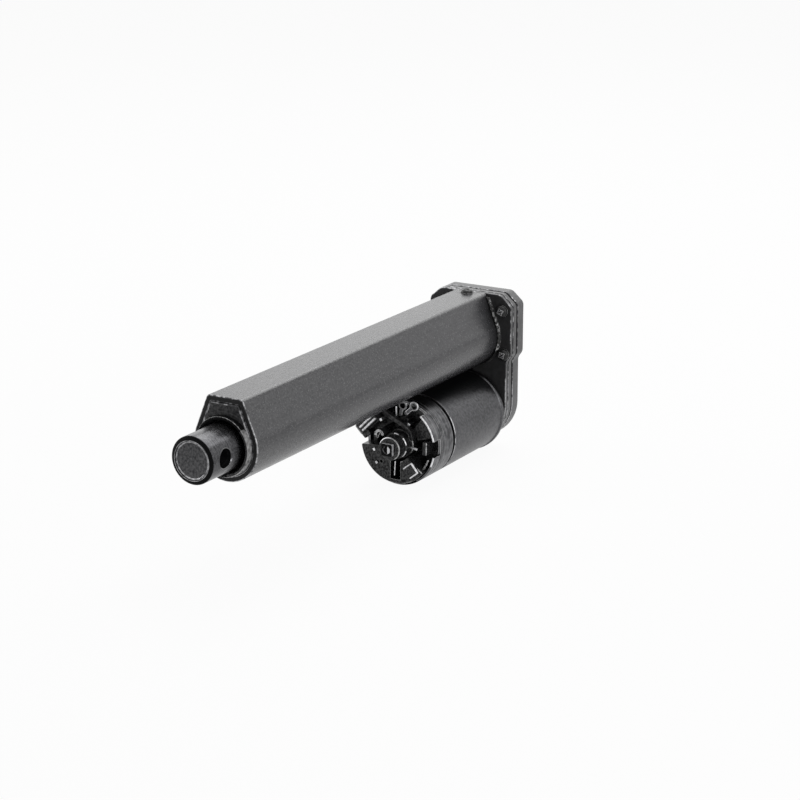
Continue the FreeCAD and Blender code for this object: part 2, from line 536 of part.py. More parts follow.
def rod_parts():
    """The sliding rod: extension tube, end plug, drive nut, its carrier and the nut pins."""
    tube = ring(ROD_R, ROD_BORE_R, NUT_STEP, TIP_X)
    rim = [e for e in edges_at_x(tube, TIP_X) if e.Curve.Radius > ROD_BORE_R + 0.1]
    tube = tube.makeChamfer(ROD_CHAMFER, rim)
    end_plug = cyl(ROD_BORE_R, END_PLUG_BACK, TIP_X - END_PLUG_RECESS)
    pin_hole = across(PIN_HOLE_R, PIN_TO_PIN, 2 * ROD_R)
    tube, end_plug = tube.cut(pin_hole), end_plug.cut(pin_hole)

    nut = joined([cyl(NUT_FLANGE_R, NUT_BACK, NUT_STEP), cyl(ROD_BORE_R, NUT_STEP, NUT_FRONT)])
    nut = nut.cut(cyl(NUT_BORE_R, NUT_BACK, NUT_FRONT))
    carrier_front = CARRIER_BACK + CARRIER_LENGTH
    carrier = prism(tube_outline(TUBE_WALL + SLIDE_GAP), CARRIER_BACK, carrier_front)
    carrier = carrier.cut(cyl(CARRIER_BORE_R, CARRIER_BACK, NUT_BACK))
    carrier = carrier.cut(cyl(NUT_FLANGE_R, NUT_BACK, NUT_STEP))
    carrier = carrier.cut(cyl(ROD_R, NUT_STEP, carrier_front))
    pin_x = (NUT_STEP + carrier_front) / 2
    pins = [Part.makeCylinder(NUT_PIN_R, NUT_PIN, V(pin_x, side * NUT_PIN_START, 0), V(0, side, 0))
            for side in (-1, 1)]
    for pin in pins:
        tube, nut, carrier = [s.cut(pin) for s in (tube, nut, carrier)]
    return {"extension_tube": tube, "rod_end_plug": end_plug, "drive_nut": nut, "nut_carrier": carrier,
            "nut_pins": Part.makeCompound(pins)}


def idler_parts():
    """The idler wheel on its pinion, which turns on the idler pin."""
    bore_r = IDLER_PIN_R + RUN_GAP
    wheel = gear(WHEEL_TEETH, WHEEL_BACK, WHEEL_FRONT, IDLER_Z, IDLER_HUB_R, 270 + 180 / WHEEL_TEETH)
    pinion = gear(PINION_TEETH, WHEEL_FRONT, OUTPUT_FRONT, IDLER_Z, bore_r, 90)
    pinion = joined([pinion, ring(IDLER_HUB_R, bore_r, WHEEL_BACK, WHEEL_FRONT, 0, IDLER_Z)])
    return {"idler_wheel": wheel, "idler_pinion": pinion}


def motor_shell_parts():
    """The motor's fixed iron: can, band, magnets and the screws that hold it to the front plate."""
    can_floor = CASE_FRONT + CAN_END
    can = ring(CAN_R, MAGNET_R, CASE_FRONT, CAN_FRONT, 0, MOTOR_Z)
    bead = ring(BEAD_R, MAGNET_R, can_floor, can_floor + BEAD, 0, MOTOR_Z)
    bead = bead.makeFillet(CAN_RIM, outer_rims(bead, BEAD_R))
    floor = cyl(CAN_R - CAN_END, CASE_FRONT, can_floor, 0, MOTOR_Z)
    boss = cyl(CAN_BOSS_R, BOSS_BACK, CASE_FRONT, 0, MOTOR_Z)
    can = joined([can, bead, floor, boss]).cut(cyl(CAN_BUSH_R, BOSS_BACK, can_floor, 0, MOTOR_Z))
    rim = [e for e in edges_at_x(can, CAN_FRONT) if e.Curve.Radius > SPIGOT_R + 0.1]
    can = can.makeChamfer(CAN_RIM, rim)
    for y, z in MOTOR_SCREWS:
        can = can.cut(cyl(SMALL_SCREW_R, CASE_FRONT, can_floor, y, z))

    band = ring(CAN_R, BAND_BORE_R, BAND_BACK, BAND_FRONT, 0, MOTOR_Z)
    band = band.makeChamfer(BAND_RIM, outer_rims(band, CAN_R))
    for start, end in NOTCHES:
        band = band.cut(sector(BAND_BORE_R - 1, CAN_R + 1, start, end, NOTCH_FLOOR, BAND_FRONT + 1, MOTOR_Z))
    magnets = [sector(MAGNET_R - MAGNET, MAGNET_R, middle - MAGNET_HALF_ANGLE, middle + MAGNET_HALF_ANGLE,
                      MAGNET_BACK, MAGNET_FRONT, MOTOR_Z) for middle in (0, 180)]
    screws = [sunk_screw(PLATE_BACK, can_floor + 1, y, z) for y, z in MOTOR_SCREWS]
    can_bush = ring(CAN_BUSH_R, SHAFT_R + RUN_GAP, BOSS_BACK, can_floor + BEAD, 0, MOTOR_Z)
    return {"motor_can": can, "motor_band": band, "motor_magnets": Part.makeCompound(magnets),
            "motor_screws": Part.makeCompound(screws), "can_bush": can_bush}


def outer_rims(sleeve, r):
    """The two round edges of a sleeve at its outer radius."""
    return [e for e in sleeve.Edges if e.BoundBox.XLength < 0.01 and e.BoundBox.ZLength > 2 * r - 0.1]


def brush_cap():
    """The plastic brush cap: a floor with a stepped bearing tower, pads, a hood, a block and an arm."""
    z = MOTOR_Z
    base = [ring(SPIGOT_R, SPIGOT_R - SPIGOT_WALL, CAN_FRONT - CAP_SPIGOT, CAP_BACK, 0, z),
            ring(BAND_BORE_R, SPIGOT_R - SPIGOT_WALL, BAND_BACK, CAP_BACK, 0, z),
            ring(BAND_BORE_R, COMMUTATOR_R + CAP_GAP, CAP_BACK, CAP_FLOOR, 0, z)]
    back = CAP_FLOOR - CAP_BUSH_BACK
    for r, front in TOWER:
        base.append(ring(r, CAP_BUSH_R, back, front, 0, z))
        back = front
    pads = [sector(PAD_IN_R, BAND_BORE_R, *PAD_ANGLES, CAP_FLOOR, PAD_FRONT, z),
            sector(RIGHT_PAD_R, BAND_BORE_R, *RIGHT_PAD_ANGLES, CAP_FLOOR, RIGHT_PAD_FRONT, z),
            sector(HOOD_R, HOOD_OUT_R, *HOOD_ANGLES, CAP_FLOOR, HOOD_FRONT, z)]
    for angle in TAB_ANGLES:
        pads.append(radial_block(TAB_IN_R, TAB_OUT_R, TAB_HALF, CAP_FLOOR, TAB_FRONT, angle, z))
    inside = cyl(BAND_BORE_R, CAP_FLOOR, PAD_FRONT, 0, z)
    pads += [raised_block(CAP_FLOOR, PAD_FRONT).common(inside), raised_block(PAD_FRONT, BLOCK_FRONT)]
    arm_runs = zip(ARM_BENDS, ARM_BENDS[1:])
    pads += [bar(ends, ARM_HALF, ARM_BACK, ARM_FRONT, z).common(inside) for ends in arm_runs]
    pads += [cyl(ARM_HALF, ARM_BACK, ARM_FRONT, y, z + rise) for y, rise in ARM_BENDS[1:]]
    pads.append(block(CAP_FLOOR, RIB_FRONT, RIB_Y - RIB_HALF, RIB_Y + RIB_HALF, z + RIB_LOW, z + RIB_HIGH))
    for angle in SPOKES:
        pads.append(radial_block(TOWER[0][0] - 1, SPOKE_OUT_R, SPOKE_HALF, CAP_FLOOR, SPOKE_FRONT, angle, z))
    slot = radial_block(SLOT_R, SLOT_OUT_R, SLOT_HALF, SLOT_FLOOR, PAD_FRONT, SLOT_ANGLE, z)
    blade = radial_block(SLOT_R, BLADE_OUT_R, BLADE_HALF, CAP_FLOOR, ARM_FRONT, SLOT_ANGLE, z)
    square_front = PAD_FRONT + SQUARE_RISE
    square = radial_block(SQUARE_IN_R, SQUARE_OUT_R, SQUARE_HALF, PAD_FRONT, square_front, BRUSH_ANGLE, z)
    return joined([joined(base + pads).cut(slot), blade, square])


def raised_block(x0, x1):
    """A length of the block at the cap's upper left, which has one corner cut off."""
    shape = block(x0, x1, BLOCK_IN_R, BLOCK_OUT_R, BLOCK_SHIFT - BLOCK_HALF, BLOCK_SHIFT + BLOCK_HALF)
    if x1 == BLOCK_FRONT:
        corner = [e for e in edges_at_x(shape, x1) if e.BoundBox.ZMin > BLOCK_SHIFT + BLOCK_HALF - 0.01]
        shape = shape.makeChamfer(BLOCK_BEVEL, corner)
    shape.rotate(V(0, 0, 0), ALONG_X, BLOCK_ANGLE)
    shape.translate(V(0, 0, MOTOR_Z))
    return shape


def bar(ends, half, x0, x1, z):
    """A straight bar across the motor's face between two (y, z) points, as a block with square ends."""
    (y0, z0), (y1, z1) = ends
    shape = block(x0, x1, 0, math.hypot(y1 - y0, z1 - z0), -half, half)
    shape.rotate(V(0, 0, 0), ALONG_X, math.degrees(math.atan2(z1 - z0, y1 - y0)))
    shape.translate(V(0, y0, z0 + z))
    return shape


def brush_parts():
    """What the brush cap carries: bush, brush boxes, brushes, springs and terminals."""
    z = MOTOR_Z
    cap_bush = ring(CAP_BUSH_R, SHAFT_R + RUN_GAP, CAP_FLOOR - CAP_BUSH_BACK, TOWER_FRONT - CAP_GAP, 0, z)
    boxes, brushes, springs = [], [], []
    x_mid = CAP_BACK - BOX_HALF
    x0, x1 = x_mid - BRUSH_HALF, x_mid + BRUSH_HALF
    for angle in (BRUSH_ANGLE, BRUSH_ANGLE + 180):
        outside = radial_block(BOX_IN_R, BOX_OUT_R, BOX_HALF, CAP_BACK - 2 * BOX_HALF, CAP_BACK, angle, z)
        boxes.append(outside.cut(radial_block(BOX_IN_R, BOX_OUT_R - BOX_END, BRUSH_HALF, x0, x1, angle, z)))
        brush = radial_block(COMMUTATOR_R, BRUSH_OUT_R, BRUSH_HALF, x0, x1, angle, z)
        brushes.append(brush.cut(cyl(COMMUTATOR_R + RUN_GAP, x0, x1, 0, z)))
        springs.append(brush_spring(x_mid, angle))
    return {"brush_cap": brush_cap(), "cap_bush": cap_bush, "brush_boxes": Part.makeCompound(boxes),
            "carbon_brushes": Part.makeCompound(brushes), "brush_springs": Part.makeCompound(springs),
            "motor_terminals": Part.makeCompound([terminal(root, eye) for root, eye in TERMINALS])}


def brush_spring(x_mid, angle):
    """A small coil spring between a brush and the end of its box."""
    height = BOX_OUT_R - BOX_END - BRUSH_OUT_R - 2 * SPRING_WIRE_R
    helix = Part.makeHelix(height / SPRING_TURNS, height, SPRING_R)
    profile = Part.Wire([Part.Circle(V(SPRING_R, 0, 0), ALONG_Y, SPRING_WIRE_R).toShape()])
    coil = Part.Wire(helix.Edges).makePipeShell([profile], True, True)
    foot = V(0, BRUSH_OUT_R + SPRING_WIRE_R, 0)
    coil.Placement = FreeCAD.Placement(foot, FreeCAD.Rotation(ALONG_Z, ALONG_Y))
    coil.rotate(V(0, 0, 0), ALONG_X, angle)
    coil.translate(V(x_mid, 0, MOTOR_Z))
    return coil


def terminal(root, eye):
    """A terminal: a strip that stands on the cap's floor and leans over to an eyelet."""
    front = TERMINAL_X + TERMINAL
    foot = cyl(STEM_HALF, CAP_FLOOR, front, root[0], MOTOR_Z + root[1])
    strip = bar([root, eye], STEM_HALF, TERMINAL_X, front, MOTOR_Z)
    disc = cyl(EYE_R, TERMINAL_X, front, eye[0], MOTOR_Z + eye[1])
    return joined([disc, strip, foot]).cut(cyl(EYE_HOLE_R, TERMINAL_X, front, eye[0], MOTOR_Z + eye[1]))


def armature_parts():
    """The motor's turning parts: shaft, pinion, core, windings, commutator and star washer."""
    z = MOTOR_Z
    shaft = cyl(SHAFT_R, WHEEL_BACK, SHAFT_FRONT, 0, z)
    shaft = shaft.makeChamfer(SHAFT_CHAMFER, edges_at_x(shaft, SHAFT_FRONT))
    pinion = gear(MOTOR_TEETH, WHEEL_BACK, WHEEL_FRONT, z, SHAFT_R, 90)
    step = 360 / POLES
    webs = [radial_block(SHAFT_R, CORE_R - SHOE / 2, WEB_HALF, CORE_BACK, CORE_FRONT, i * step, z)
            for i in range(POLES)]
    shoes = [sector(CORE_R - SHOE, CORE_R, i * step - SHOE_HALF_ANGLE, i * step + SHOE_HALF_ANGLE,
                    CORE_BACK, CORE_FRONT, z) for i in range(POLES)]
    core = joined([cyl(CORE_HUB_R, CORE_BACK, CORE_FRONT, 0, z)] + webs + shoes)
    core = core.cut(cyl(SHAFT_R, CORE_BACK, CORE_FRONT, 0, z))
    windings = [sector(CORE_HUB_R + WINDING_GAP, CORE_R - SHOE - WINDING_GAP,
                       (i + 0.5) * step - WINDING_HALF_ANGLE, (i + 0.5) * step + WINDING_HALF_ANGLE,
                       CORE_BACK - WINDING_OVERHANG, CORE_FRONT + WINDING_OVERHANG, z) for i in range(POLES)]
    commutator_back = CORE_FRONT + WINDING_OVERHANG + 1
    commutator = ring(COMMUTATOR_R, SHAFT_R, commutator_back, CAP_BACK + CAP_GAP, 0, z)
    for i in range(POLES):
        slit = radial_block(COMMUTATOR_R - COMMUTATOR_SLOT, COMMUTATOR_R + 1, WINDING_GAP,
                            commutator_back + 1, CAP_BACK + 1, (i + 0.5) * step, z)
        commutator = commutator.cut(slit)
    washer_back = TOWER_FRONT + WASHER_GAP
    washer = [ring(WASHER_R, SHAFT_R, washer_back, washer_back + WASHER, 0, z)]
    for i in range(PRONGS):
        start = 360 * i / PRONGS - PRONG_HALF_ANGLE
        washer.append(sector(SHAFT_R + WASHER, WASHER_OUT_R, start, start + 2 * PRONG_HALF_ANGLE,
                             washer_back, washer_back + WASHER, z))
    return {"motor_shaft": shaft, "motor_pinion": pinion, "armature_core": core,
            "armature_windings": Part.makeCompound(windings), "commutator": commutator,
            "star_washer": joined(washer)}


def save(name, shape):
    """Checks one node and writes it as a STEP file."""
    solids = shape.Solids
    if not solids or not shape.isValid() or any(s.Volume <= 0 for s in solids):
        raise ValueError(f"{name} is not a sound solid")
    node = solids[0] if len(solids) == 1 else Part.makeCompound(solids)
    node.exportStep(f"parts/{name}.step")
    box = node.BoundBox
    print(f"{name:20s} {len(solids):3d} solids {node.Volume:10.1f} mm3  "
          f"x {box.XMin:7.2f} {box.XMax:7.2f}  y {box.YMin:7.2f} {box.YMax:7.2f}  "
          f"z {box.ZMin:7.2f} {box.ZMax:7.2f}")


def main():
    os.makedirs("parts", exist_ok=True)
    groups = [tube_parts(), bearing_parts(), case_parts(), screw_parts(), rod_parts(), idler_parts(),
              motor_shell_parts(), brush_parts(), armature_parts()]
    for group in groups:
        for name, shape in group.items():
            save(name, shape)


main()
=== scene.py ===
"""Looks of an electric linear actuator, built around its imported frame.

Forms are modelled in millimetres in the part's own frame and become metres when they are finished.
+X is the way the rod extends, +Y runs along both pin holes, +Z is up and the motor hangs below.
"""
import json
import logging
import math
from dataclasses import dataclass, field, replace
from enum import Enum
from typing import Callable, Iterable, Sequence

import bmesh
import bpy
from mathutils import Matrix, Vector


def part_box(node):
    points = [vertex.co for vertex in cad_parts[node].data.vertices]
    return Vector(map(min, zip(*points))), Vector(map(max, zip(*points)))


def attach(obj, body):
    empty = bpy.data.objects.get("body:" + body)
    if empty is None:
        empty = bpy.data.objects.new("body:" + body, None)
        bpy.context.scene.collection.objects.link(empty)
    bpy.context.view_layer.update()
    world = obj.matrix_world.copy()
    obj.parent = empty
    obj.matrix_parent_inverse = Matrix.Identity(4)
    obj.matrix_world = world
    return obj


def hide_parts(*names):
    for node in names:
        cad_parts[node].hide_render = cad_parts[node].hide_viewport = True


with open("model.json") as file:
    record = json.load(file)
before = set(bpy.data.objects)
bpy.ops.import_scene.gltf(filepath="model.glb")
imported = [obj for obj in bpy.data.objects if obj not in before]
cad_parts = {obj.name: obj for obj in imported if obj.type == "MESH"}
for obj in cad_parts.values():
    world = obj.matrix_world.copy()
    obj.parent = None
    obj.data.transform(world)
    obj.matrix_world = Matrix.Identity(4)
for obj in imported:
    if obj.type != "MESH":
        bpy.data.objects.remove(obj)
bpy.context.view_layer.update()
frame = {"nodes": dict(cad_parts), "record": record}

LOG = logging.getLogger("actuator")
MM = 0.001

# Lengths in millimetres: points that merge, also after a cut, points that count as touching, and how far a
# cutter runs past what it cuts
WELD = 1e-3
FINE_WELD = 1e-4
NEAR = 0.02
PAST = 1.0

# Parts of a face's direction along X: where it starts to lean forward, is still steep, faces front, is flat
LEANING = 0.2
STEEP = 0.6
FACING = 0.9
FLAT = 0.97

# Angles in degrees: between faces that shade as two, and between those that meet at a rim
SHARP_ANGLE = 35
RIM_ANGLE = 60

ALONG_X = Vector((1, 0, 0))
ALONG_Y = Vector((0, 1, 0))
FULL_TURN = 2 * math.pi
WHITE = (1.0, 1.0, 1.0, 1.0)

# Faces round a small turned piece and round a small pin
SMALL_TURN = 40
SMALL_PIN = 32

Tree = bpy.types.NodeTree
Socket = bpy.types.NodeSocket


def low_high(node: str) -> tuple[Vector, Vector]:
    """Gives the lowest and highest corners of a node's box in millimetres."""
    low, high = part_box(node)
    return low / MM, high / MM


def body_of(node: str) -> str:
    """Gives the name of the body that carries a node."""
    return next(b for b, nodes in frame["record"]["behaviour"]["bodies"].items() if node in nodes)


def slot_of(node: str) -> str:
    """Gives the record's material slot of a node."""
    return next(p["material_slot"] for p in frame["record"]["subparts"] if p["node"] == node)


def added(name: str, data: bpy.types.ID) -> bpy.types.Object:
    """Adds an object to the scene."""
    made = bpy.data.objects.new(name, data)
    bpy.context.scene.collection.objects.link(made)
    return made


def swung(foot: Vector, angle: float) -> Matrix:
    """Gives the move to a point after a turn about X, in radians."""
    return Matrix.Translation(foot) @ Matrix.Rotation(angle, 4, "X")


# Forms


@dataclass(frozen=True)
class Corner:
    """A corner of a flat line, with the length that its rounding takes off each side.

    On an outline across X the first two values are y and z, on a turned profile x and radius.
    """

    a: float
    b: float
    rounding: float = 0.0


class Combine(Enum):
    """How one form acts on another."""

    CUT = "DIFFERENCE"
    JOIN = "UNION"
    KEEP = "INTERSECT"


@dataclass(frozen=True)
class Section:
    """A flat outline across X, the same left and right: corners down each side and a round foot.

    Attributes:
        corners: Right-hand corners from the top down to where the foot's arc starts.
        foot_z: Height of the arc's centre.
        steps: Edges along the arc.
    """

    corners: tuple[Corner, ...]
    foot_z: float
    steps: int = 72

    def draw(self, bm: bmesh.types.BMesh, x: float) -> None:
        """Adds the outline to a mesh as a closed wire.

        Args:
            bm: Mesh to add to.
            x: Place along X.
        """
        right = [bm.verts.new((x, c.a, c.b)) for c in self.corners]
        left = [bm.verts.new((x, -c.a, c.b)) for c in self.corners]
        for side in (right, left):
            for start, end in zip(side, side[1:]):
                bm.edges.new((start, end))
        bm.edges.new((left[0], right[0]))
        last = self.corners[-1]
        sweep = -(math.pi + 2 * math.atan2(last.b - self.foot_z, last.a))
        bmesh.ops.spin(bm, geom=[right[-1]], cent=(x, 0, self.foot_z), axis=ALONG_X, angle=sweep,
                       steps=self.steps)
        for corner, pair in zip(self.corners, zip(right, left)):
            if corner.rounding:
                bmesh.ops.bevel(bm, geom=list(pair), offset=corner.rounding, affect="VERTICES",
                                segments=6, profile=0.5, material=-1)
        bmesh.ops.remove_doubles(bm, verts=bm.verts, dist=WELD)


class Form:
    """A closed mesh in the making, in millimetres."""

    def __init__(self, bm: bmesh.types.BMesh) -> None:
        """Takes over a mesh and closes its seams."""
        self.bm = bm
        self.weld()

    @classmethod
    def turned(cls, profile: Sequence[Corner], axis_z: float = 0.0, turn: tuple[float, float] = (0, 360),
               steps: int = 96) -> "Form":
        """Spins a profile of (x, radius) round a line along X.

        Args:
            profile: Corners of the profile; a solid one starts and ends on the line.
            axis_z: Height of the line.
            turn: First and last angle in degrees; 0 is +Y and 90 is +Z.
            steps: Faces in a full turn.

        Returns:
            The turned form.
        """
        bm = bmesh.new()
        first, last = (math.radians(a) for a in turn)
        full = turn[1] - turn[0] >= 360
        verts = [bm.verts.new((c.a, c.b * math.cos(first), axis_z + c.b * math.sin(first))) for c in profile]
        solid = profile[0].b == 0 and profile[-1].b == 0
        ends = verts[1:] if solid else verts[1:] + verts[:1]
        for pair in zip(verts, ends):
            bm.edges.new(pair)
        for corner, vert in zip(profile, verts):
            if corner.rounding:
                bmesh.ops.bevel(bm, geom=[vert], offset=corner.rounding, affect="VERTICES",
                                segments=4, profile=0.5, material=-1)
        if not full:
            bmesh.ops.contextual_create(bm, geom=bm.edges[:])
        count = max(2, round(steps * (last - first) / FULL_TURN))
        bmesh.ops.spin(bm, geom=bm.verts[:] + bm.edges[:] + bm.faces[:], cent=(0, 0, axis_z), axis=ALONG_X,
                       angle=last - first, steps=count, use_merge=full)
        if not full:
            bmesh.ops.holes_fill(bm, edges=bm.edges[:], sides=0)
        return cls(bm)

    @classmethod
    def drawn(cls, sections: Sequence[Section], x0: float, x1: float) -> "Form":
        """Draws an outline, or the wall between two outlines, out along X.

        Args:
            sections: The outline, or the outer and the inner one.
            x0: Rear end.
            x1: Front end.

        Returns:
            The drawn form.
        """
        bm = bmesh.new()
        for section in sections:
            section.draw(bm, x0)
        if len(sections) == 1:
            bmesh.ops.contextual_create(bm, geom=bm.edges[:])
        else:
            bmesh.ops.bridge_loops(bm, edges=bm.edges[:])
        return cls(bm).pushed(Vector((x1 - x0, 0, 0)))

    @classmethod
    def block(cls, low: Sequence[float], high: Sequence[float]) -> "Form":
        """Makes a box between two corners."""
        bm = bmesh.new()
        size = [b - a for a, b in zip(low, high)]
        middle = [(a + b) / 2 for a, b in zip(low, high)]
        bmesh.ops.create_cube(bm, size=1.0, matrix=Matrix.LocRotScale(middle, None, size))
        return cls(bm)

    @classmethod
    def ring(cls, ends: tuple[float, float], radii: tuple[float, float], axis_z: float,
             turn: tuple[float, float] = (0, 360)) -> "Form":
        """Makes a round wall, or a piece of one, from its two ends, radii and angles in degrees."""
        (back, front), (r0, r1) = ends, radii
        return cls.turned([Corner(back, r0), Corner(back, r1), Corner(front, r1), Corner(front, r0)],
                          axis_z, turn)

    @classmethod
    def bar(cls, start: Vector, end: Vector, half: float, reach: tuple[float, float], ease: float) -> "Form":
        """Makes a bar with eased edges from one point to another across X.

        Args:
            start: Middle of its first end.
            end: Middle of its last end.
            half: Half its width.
            reach: Its back and front along X, from the points.
            ease: Width of its bevels.

        Returns:
            The bar.
        """
        along = end - start
        bar = cls.block((reach[0], 0, -half), (reach[1], along.length, half)).eased(ease)
        return bar.placed(swung(start, math.atan2(along.z, along.y)))

    @classmethod
    def pin(cls, radius: float, foot: Vector, way: Vector, length: float, steps: int = 64) -> "Form":
        """Makes a round pin.

        Args:
            radius: Its radius.
            foot: Middle of the near end.
            way: Direction in which it runs.
            length: Its length.
            steps: Faces round it.

        Returns:
            The pin.
        """
        bm = bmesh.new()
        turn = way.to_track_quat("Z", "Y")
        place = Matrix.LocRotScale(foot + way.normalized() * length / 2, turn, None)
        bmesh.ops.create_cone(bm, cap_ends=True, segments=steps, radius1=radius, radius2=radius,
                              depth=length, matrix=place)
        return cls(bm)

    def weld(self) -> "Form":
        """Merges doubles, drops faces without area and turns all faces outwards."""
        bmesh.ops.remove_doubles(self.bm, verts=self.bm.verts, dist=WELD)
        bmesh.ops.dissolve_degenerate(self.bm, edges=self.bm.edges, dist=WELD)
        bmesh.ops.recalc_face_normals(self.bm, faces=self.bm.faces)
        return self

    def pushed(self, way: Vector) -> "Form":
        """Gives flat faces a depth along a vector."""
        grown = bmesh.ops.extrude_face_region(self.bm, geom=self.bm.faces[:])
        moved = [g for g in grown["geom"] if isinstance(g, bmesh.types.BMVert)]
        bmesh.ops.translate(self.bm, vec=way, verts=moved)
        return self.weld()

    def placed(self, place: Matrix) -> "Form":
        """Moves or turns the form."""
        bmesh.ops.transform(self.bm, matrix=place, verts=self.bm.verts)
        return self

    def eased(self, width: float, segments: int = 2, where: Callable[[Vector], bool] = lambda middle: True,
              angle: float = 40) -> "Form":
        """Bevels the form's outer edges.

        Args:
            width: Width of the bevel.
            segments: Facets across it.
            where: Test of an edge's middle point.
            angle: Least angle between the faces of an edge, in degrees.

        Returns:
            The form itself.
        """
        edges = [e for e in self.bm.edges if len(e.link_faces) == 2 and e.is_convex
                 and e.calc_face_angle() > math.radians(angle)
                 and where((e.verts[0].co + e.verts[1].co) / 2)]
        bmesh.ops.bevel(self.bm, geom=edges, offset=width, affect="EDGES", segments=segments, profile=0.5,
                        material=-1, clamp_overlap=True)
        return self

    def marked(self, index: int, where: Callable[[Vector, Vector], bool]) -> "Form":
        """Gives faces another finish.

        Args:
            index: Place of the finish among those that the piece is dressed with.
            where: Test of a face's middle point and direction.

        Returns:
            The form itself.
        """
        self.bm.normal_update()
        for face in self.bm.faces:
            if where(face.calc_center_median(), face.normal):
                face.material_index = index
        return self

    def combined(self, how: Combine, tools: Iterable["Form"]) -> "Form":
        """Cuts other forms out of this one, joins them on or keeps what they share.

        Args:
            how: What is done.
            tools: The other forms, used up by it.

        Returns:
            The form itself.
        """
        for tool in tools:
            pair = [added("stand_in", form.mesh("stand_in")) for form in (self, tool)]
            step = pair[0].modifiers.new("combine", "BOOLEAN")
            step.operation, step.solver, step.object = how.value, "EXACT", pair[1]
            graph = bpy.context.evaluated_depsgraph_get()
            mesh = bpy.data.meshes.new_from_object(pair[0].evaluated_get(graph))
            self.bm = bmesh.new()
            self.bm.from_mesh(mesh)
            bpy.data.meshes.remove(mesh)
            for stand_in in pair:
                bpy.data.meshes.remove(stand_in.data)
            bmesh.ops.remove_doubles(self.bm, verts=self.bm.verts, dist=FINE_WELD)
            loose = [edge for edge in self.bm.edges if not edge.link_faces]
            bmesh.ops.delete(self.bm, geom=loose, context="EDGES")
        return self

    def mesh(self, name: str) -> bpy.types.Mesh:
        """Turns the form into a mesh, which uses it up."""
        mesh = bpy.data.meshes.new(name)
        self.bm.to_mesh(mesh)
        self.bm.free()
        return mesh

    def with_shells(self, others: Iterable["Form"]) -> "Form":
        """Takes other forms in as shells of their own.

        Args:
            others: The other forms, used up by it.

        Returns:
            The form itself.
        """
        for other in others:
            mesh = other.mesh("shell")
            self.bm.from_mesh(mesh)
            bpy.data.meshes.remove(mesh)
        return self


# Finishes


def linear(colour: str) -> tuple[float, float, float, float]:
    """Turns an sRGB hex colour into the linear values that a shader takes.

    Args:
        colour: Six hex digits after a hash sign.

    Returns:
        Red, green, blue and an alpha of one.
    """
    parts = [int(colour[i:i + 2], 16) / 255 for i in (1, 3, 5)]
    red, green, blue = (p / 12.92 if p <= 0.04045 else ((p + 0.055) / 1.055) ** 2.4 for p in parts)
    return red, green, blue, 1.0


def add_node(tree: Tree, kind: str, inputs: dict, **settings: object) -> bpy.types.Node:
    """Adds a node with its settings and links.

    Args:
        tree: Tree to add to.
        kind: Type of the node.
        inputs: Values for its sockets; an output socket is linked and anything else is set.
        settings: Attributes of the node.

    Returns:
        The new node.
    """
    node = tree.nodes.new(kind)
    for key, value in settings.items():
        setattr(node, key, value)
    for key, value in inputs.items():
        if isinstance(value, Socket):
            tree.links.new(value, node.inputs[key])
        else:
            node.inputs[key].default_value = value
    return node


def cleared(owner: bpy.types.Material | bpy.types.World) -> Tree:
    """Gives the node tree of a material or world, emptied."""
    owner.use_nodes = True
    owner.node_tree.nodes.clear()
    return owner.node_tree


def ramp(tree: Tree, value: Socket, span: tuple[float, float],
         to: tuple[float, float] = (0.0, 1.0)) -> Socket:
    """Adds a node that maps a value from one span, which may fall, to another and clamps it."""
    return add_node(tree, "ShaderNodeMapRange", {"Value": value, "From Min": span[0], "From Max": span[1],
                                                 "To Min": to[0], "To Max": to[1]}).outputs["Result"]


def reckoned(tree: Tree, operation: str, *values: Socket | float) -> Socket:
    """Adds a node that does one sum on its values."""
    return add_node(tree, "ShaderNodeMath", dict(enumerate(values)), operation=operation).outputs[0]


def noise(tree: Tree, where: Socket, scale: float, detail: float = 2.0) -> Socket:
    """Adds a soft random pattern about one half."""
    inputs = {"Vector": where, "Scale": scale, "Detail": detail}
    return add_node(tree, "ShaderNodeTexNoise", inputs).outputs["Fac"]


def blended(tree: Tree, share: Socket, first: object, second: object) -> Socket:
    """Adds a mix of two colours."""
    return add_node(tree, "ShaderNodeMix", {0: share, 6: first, 7: second}, data_type="RGBA").outputs[2]


# What all finishes share: the parts of a pattern over which it acts, and the painted shade laid on faces that
# look up and into corners
ROUGH_SPAN, ROUGH_SWING = (0.3, 0.7), 0.05
GLOSS_SPAN = (0.35, 0.65)
EDGE_SPAN, BROKEN_SPAN, BROKEN_SHARE = (0.92, 0.62), (0.35, 0.6), (0.5, 1.0)
# Painted shade: its colour, the lean upwards over which it comes in, and the span of openness over which it
# fills corners
SHADE_TONE, TOP_SHADE_SPAN, CORNER_SHADE_SPAN = "#161617", (0.62, 0.97), (0.95, 0.5)
AIR_SAMPLES = 8
PATCH_DETAIL = 3.0
LINE_STRETCH = 60


class Marks(Enum):
    """Which way a tool or die has left its fine lines."""

    NONE = "none"
    ALONG = "drawn lines along X"
    AROUND = "turned lines round X"
    FACED = "rings on a face across X"


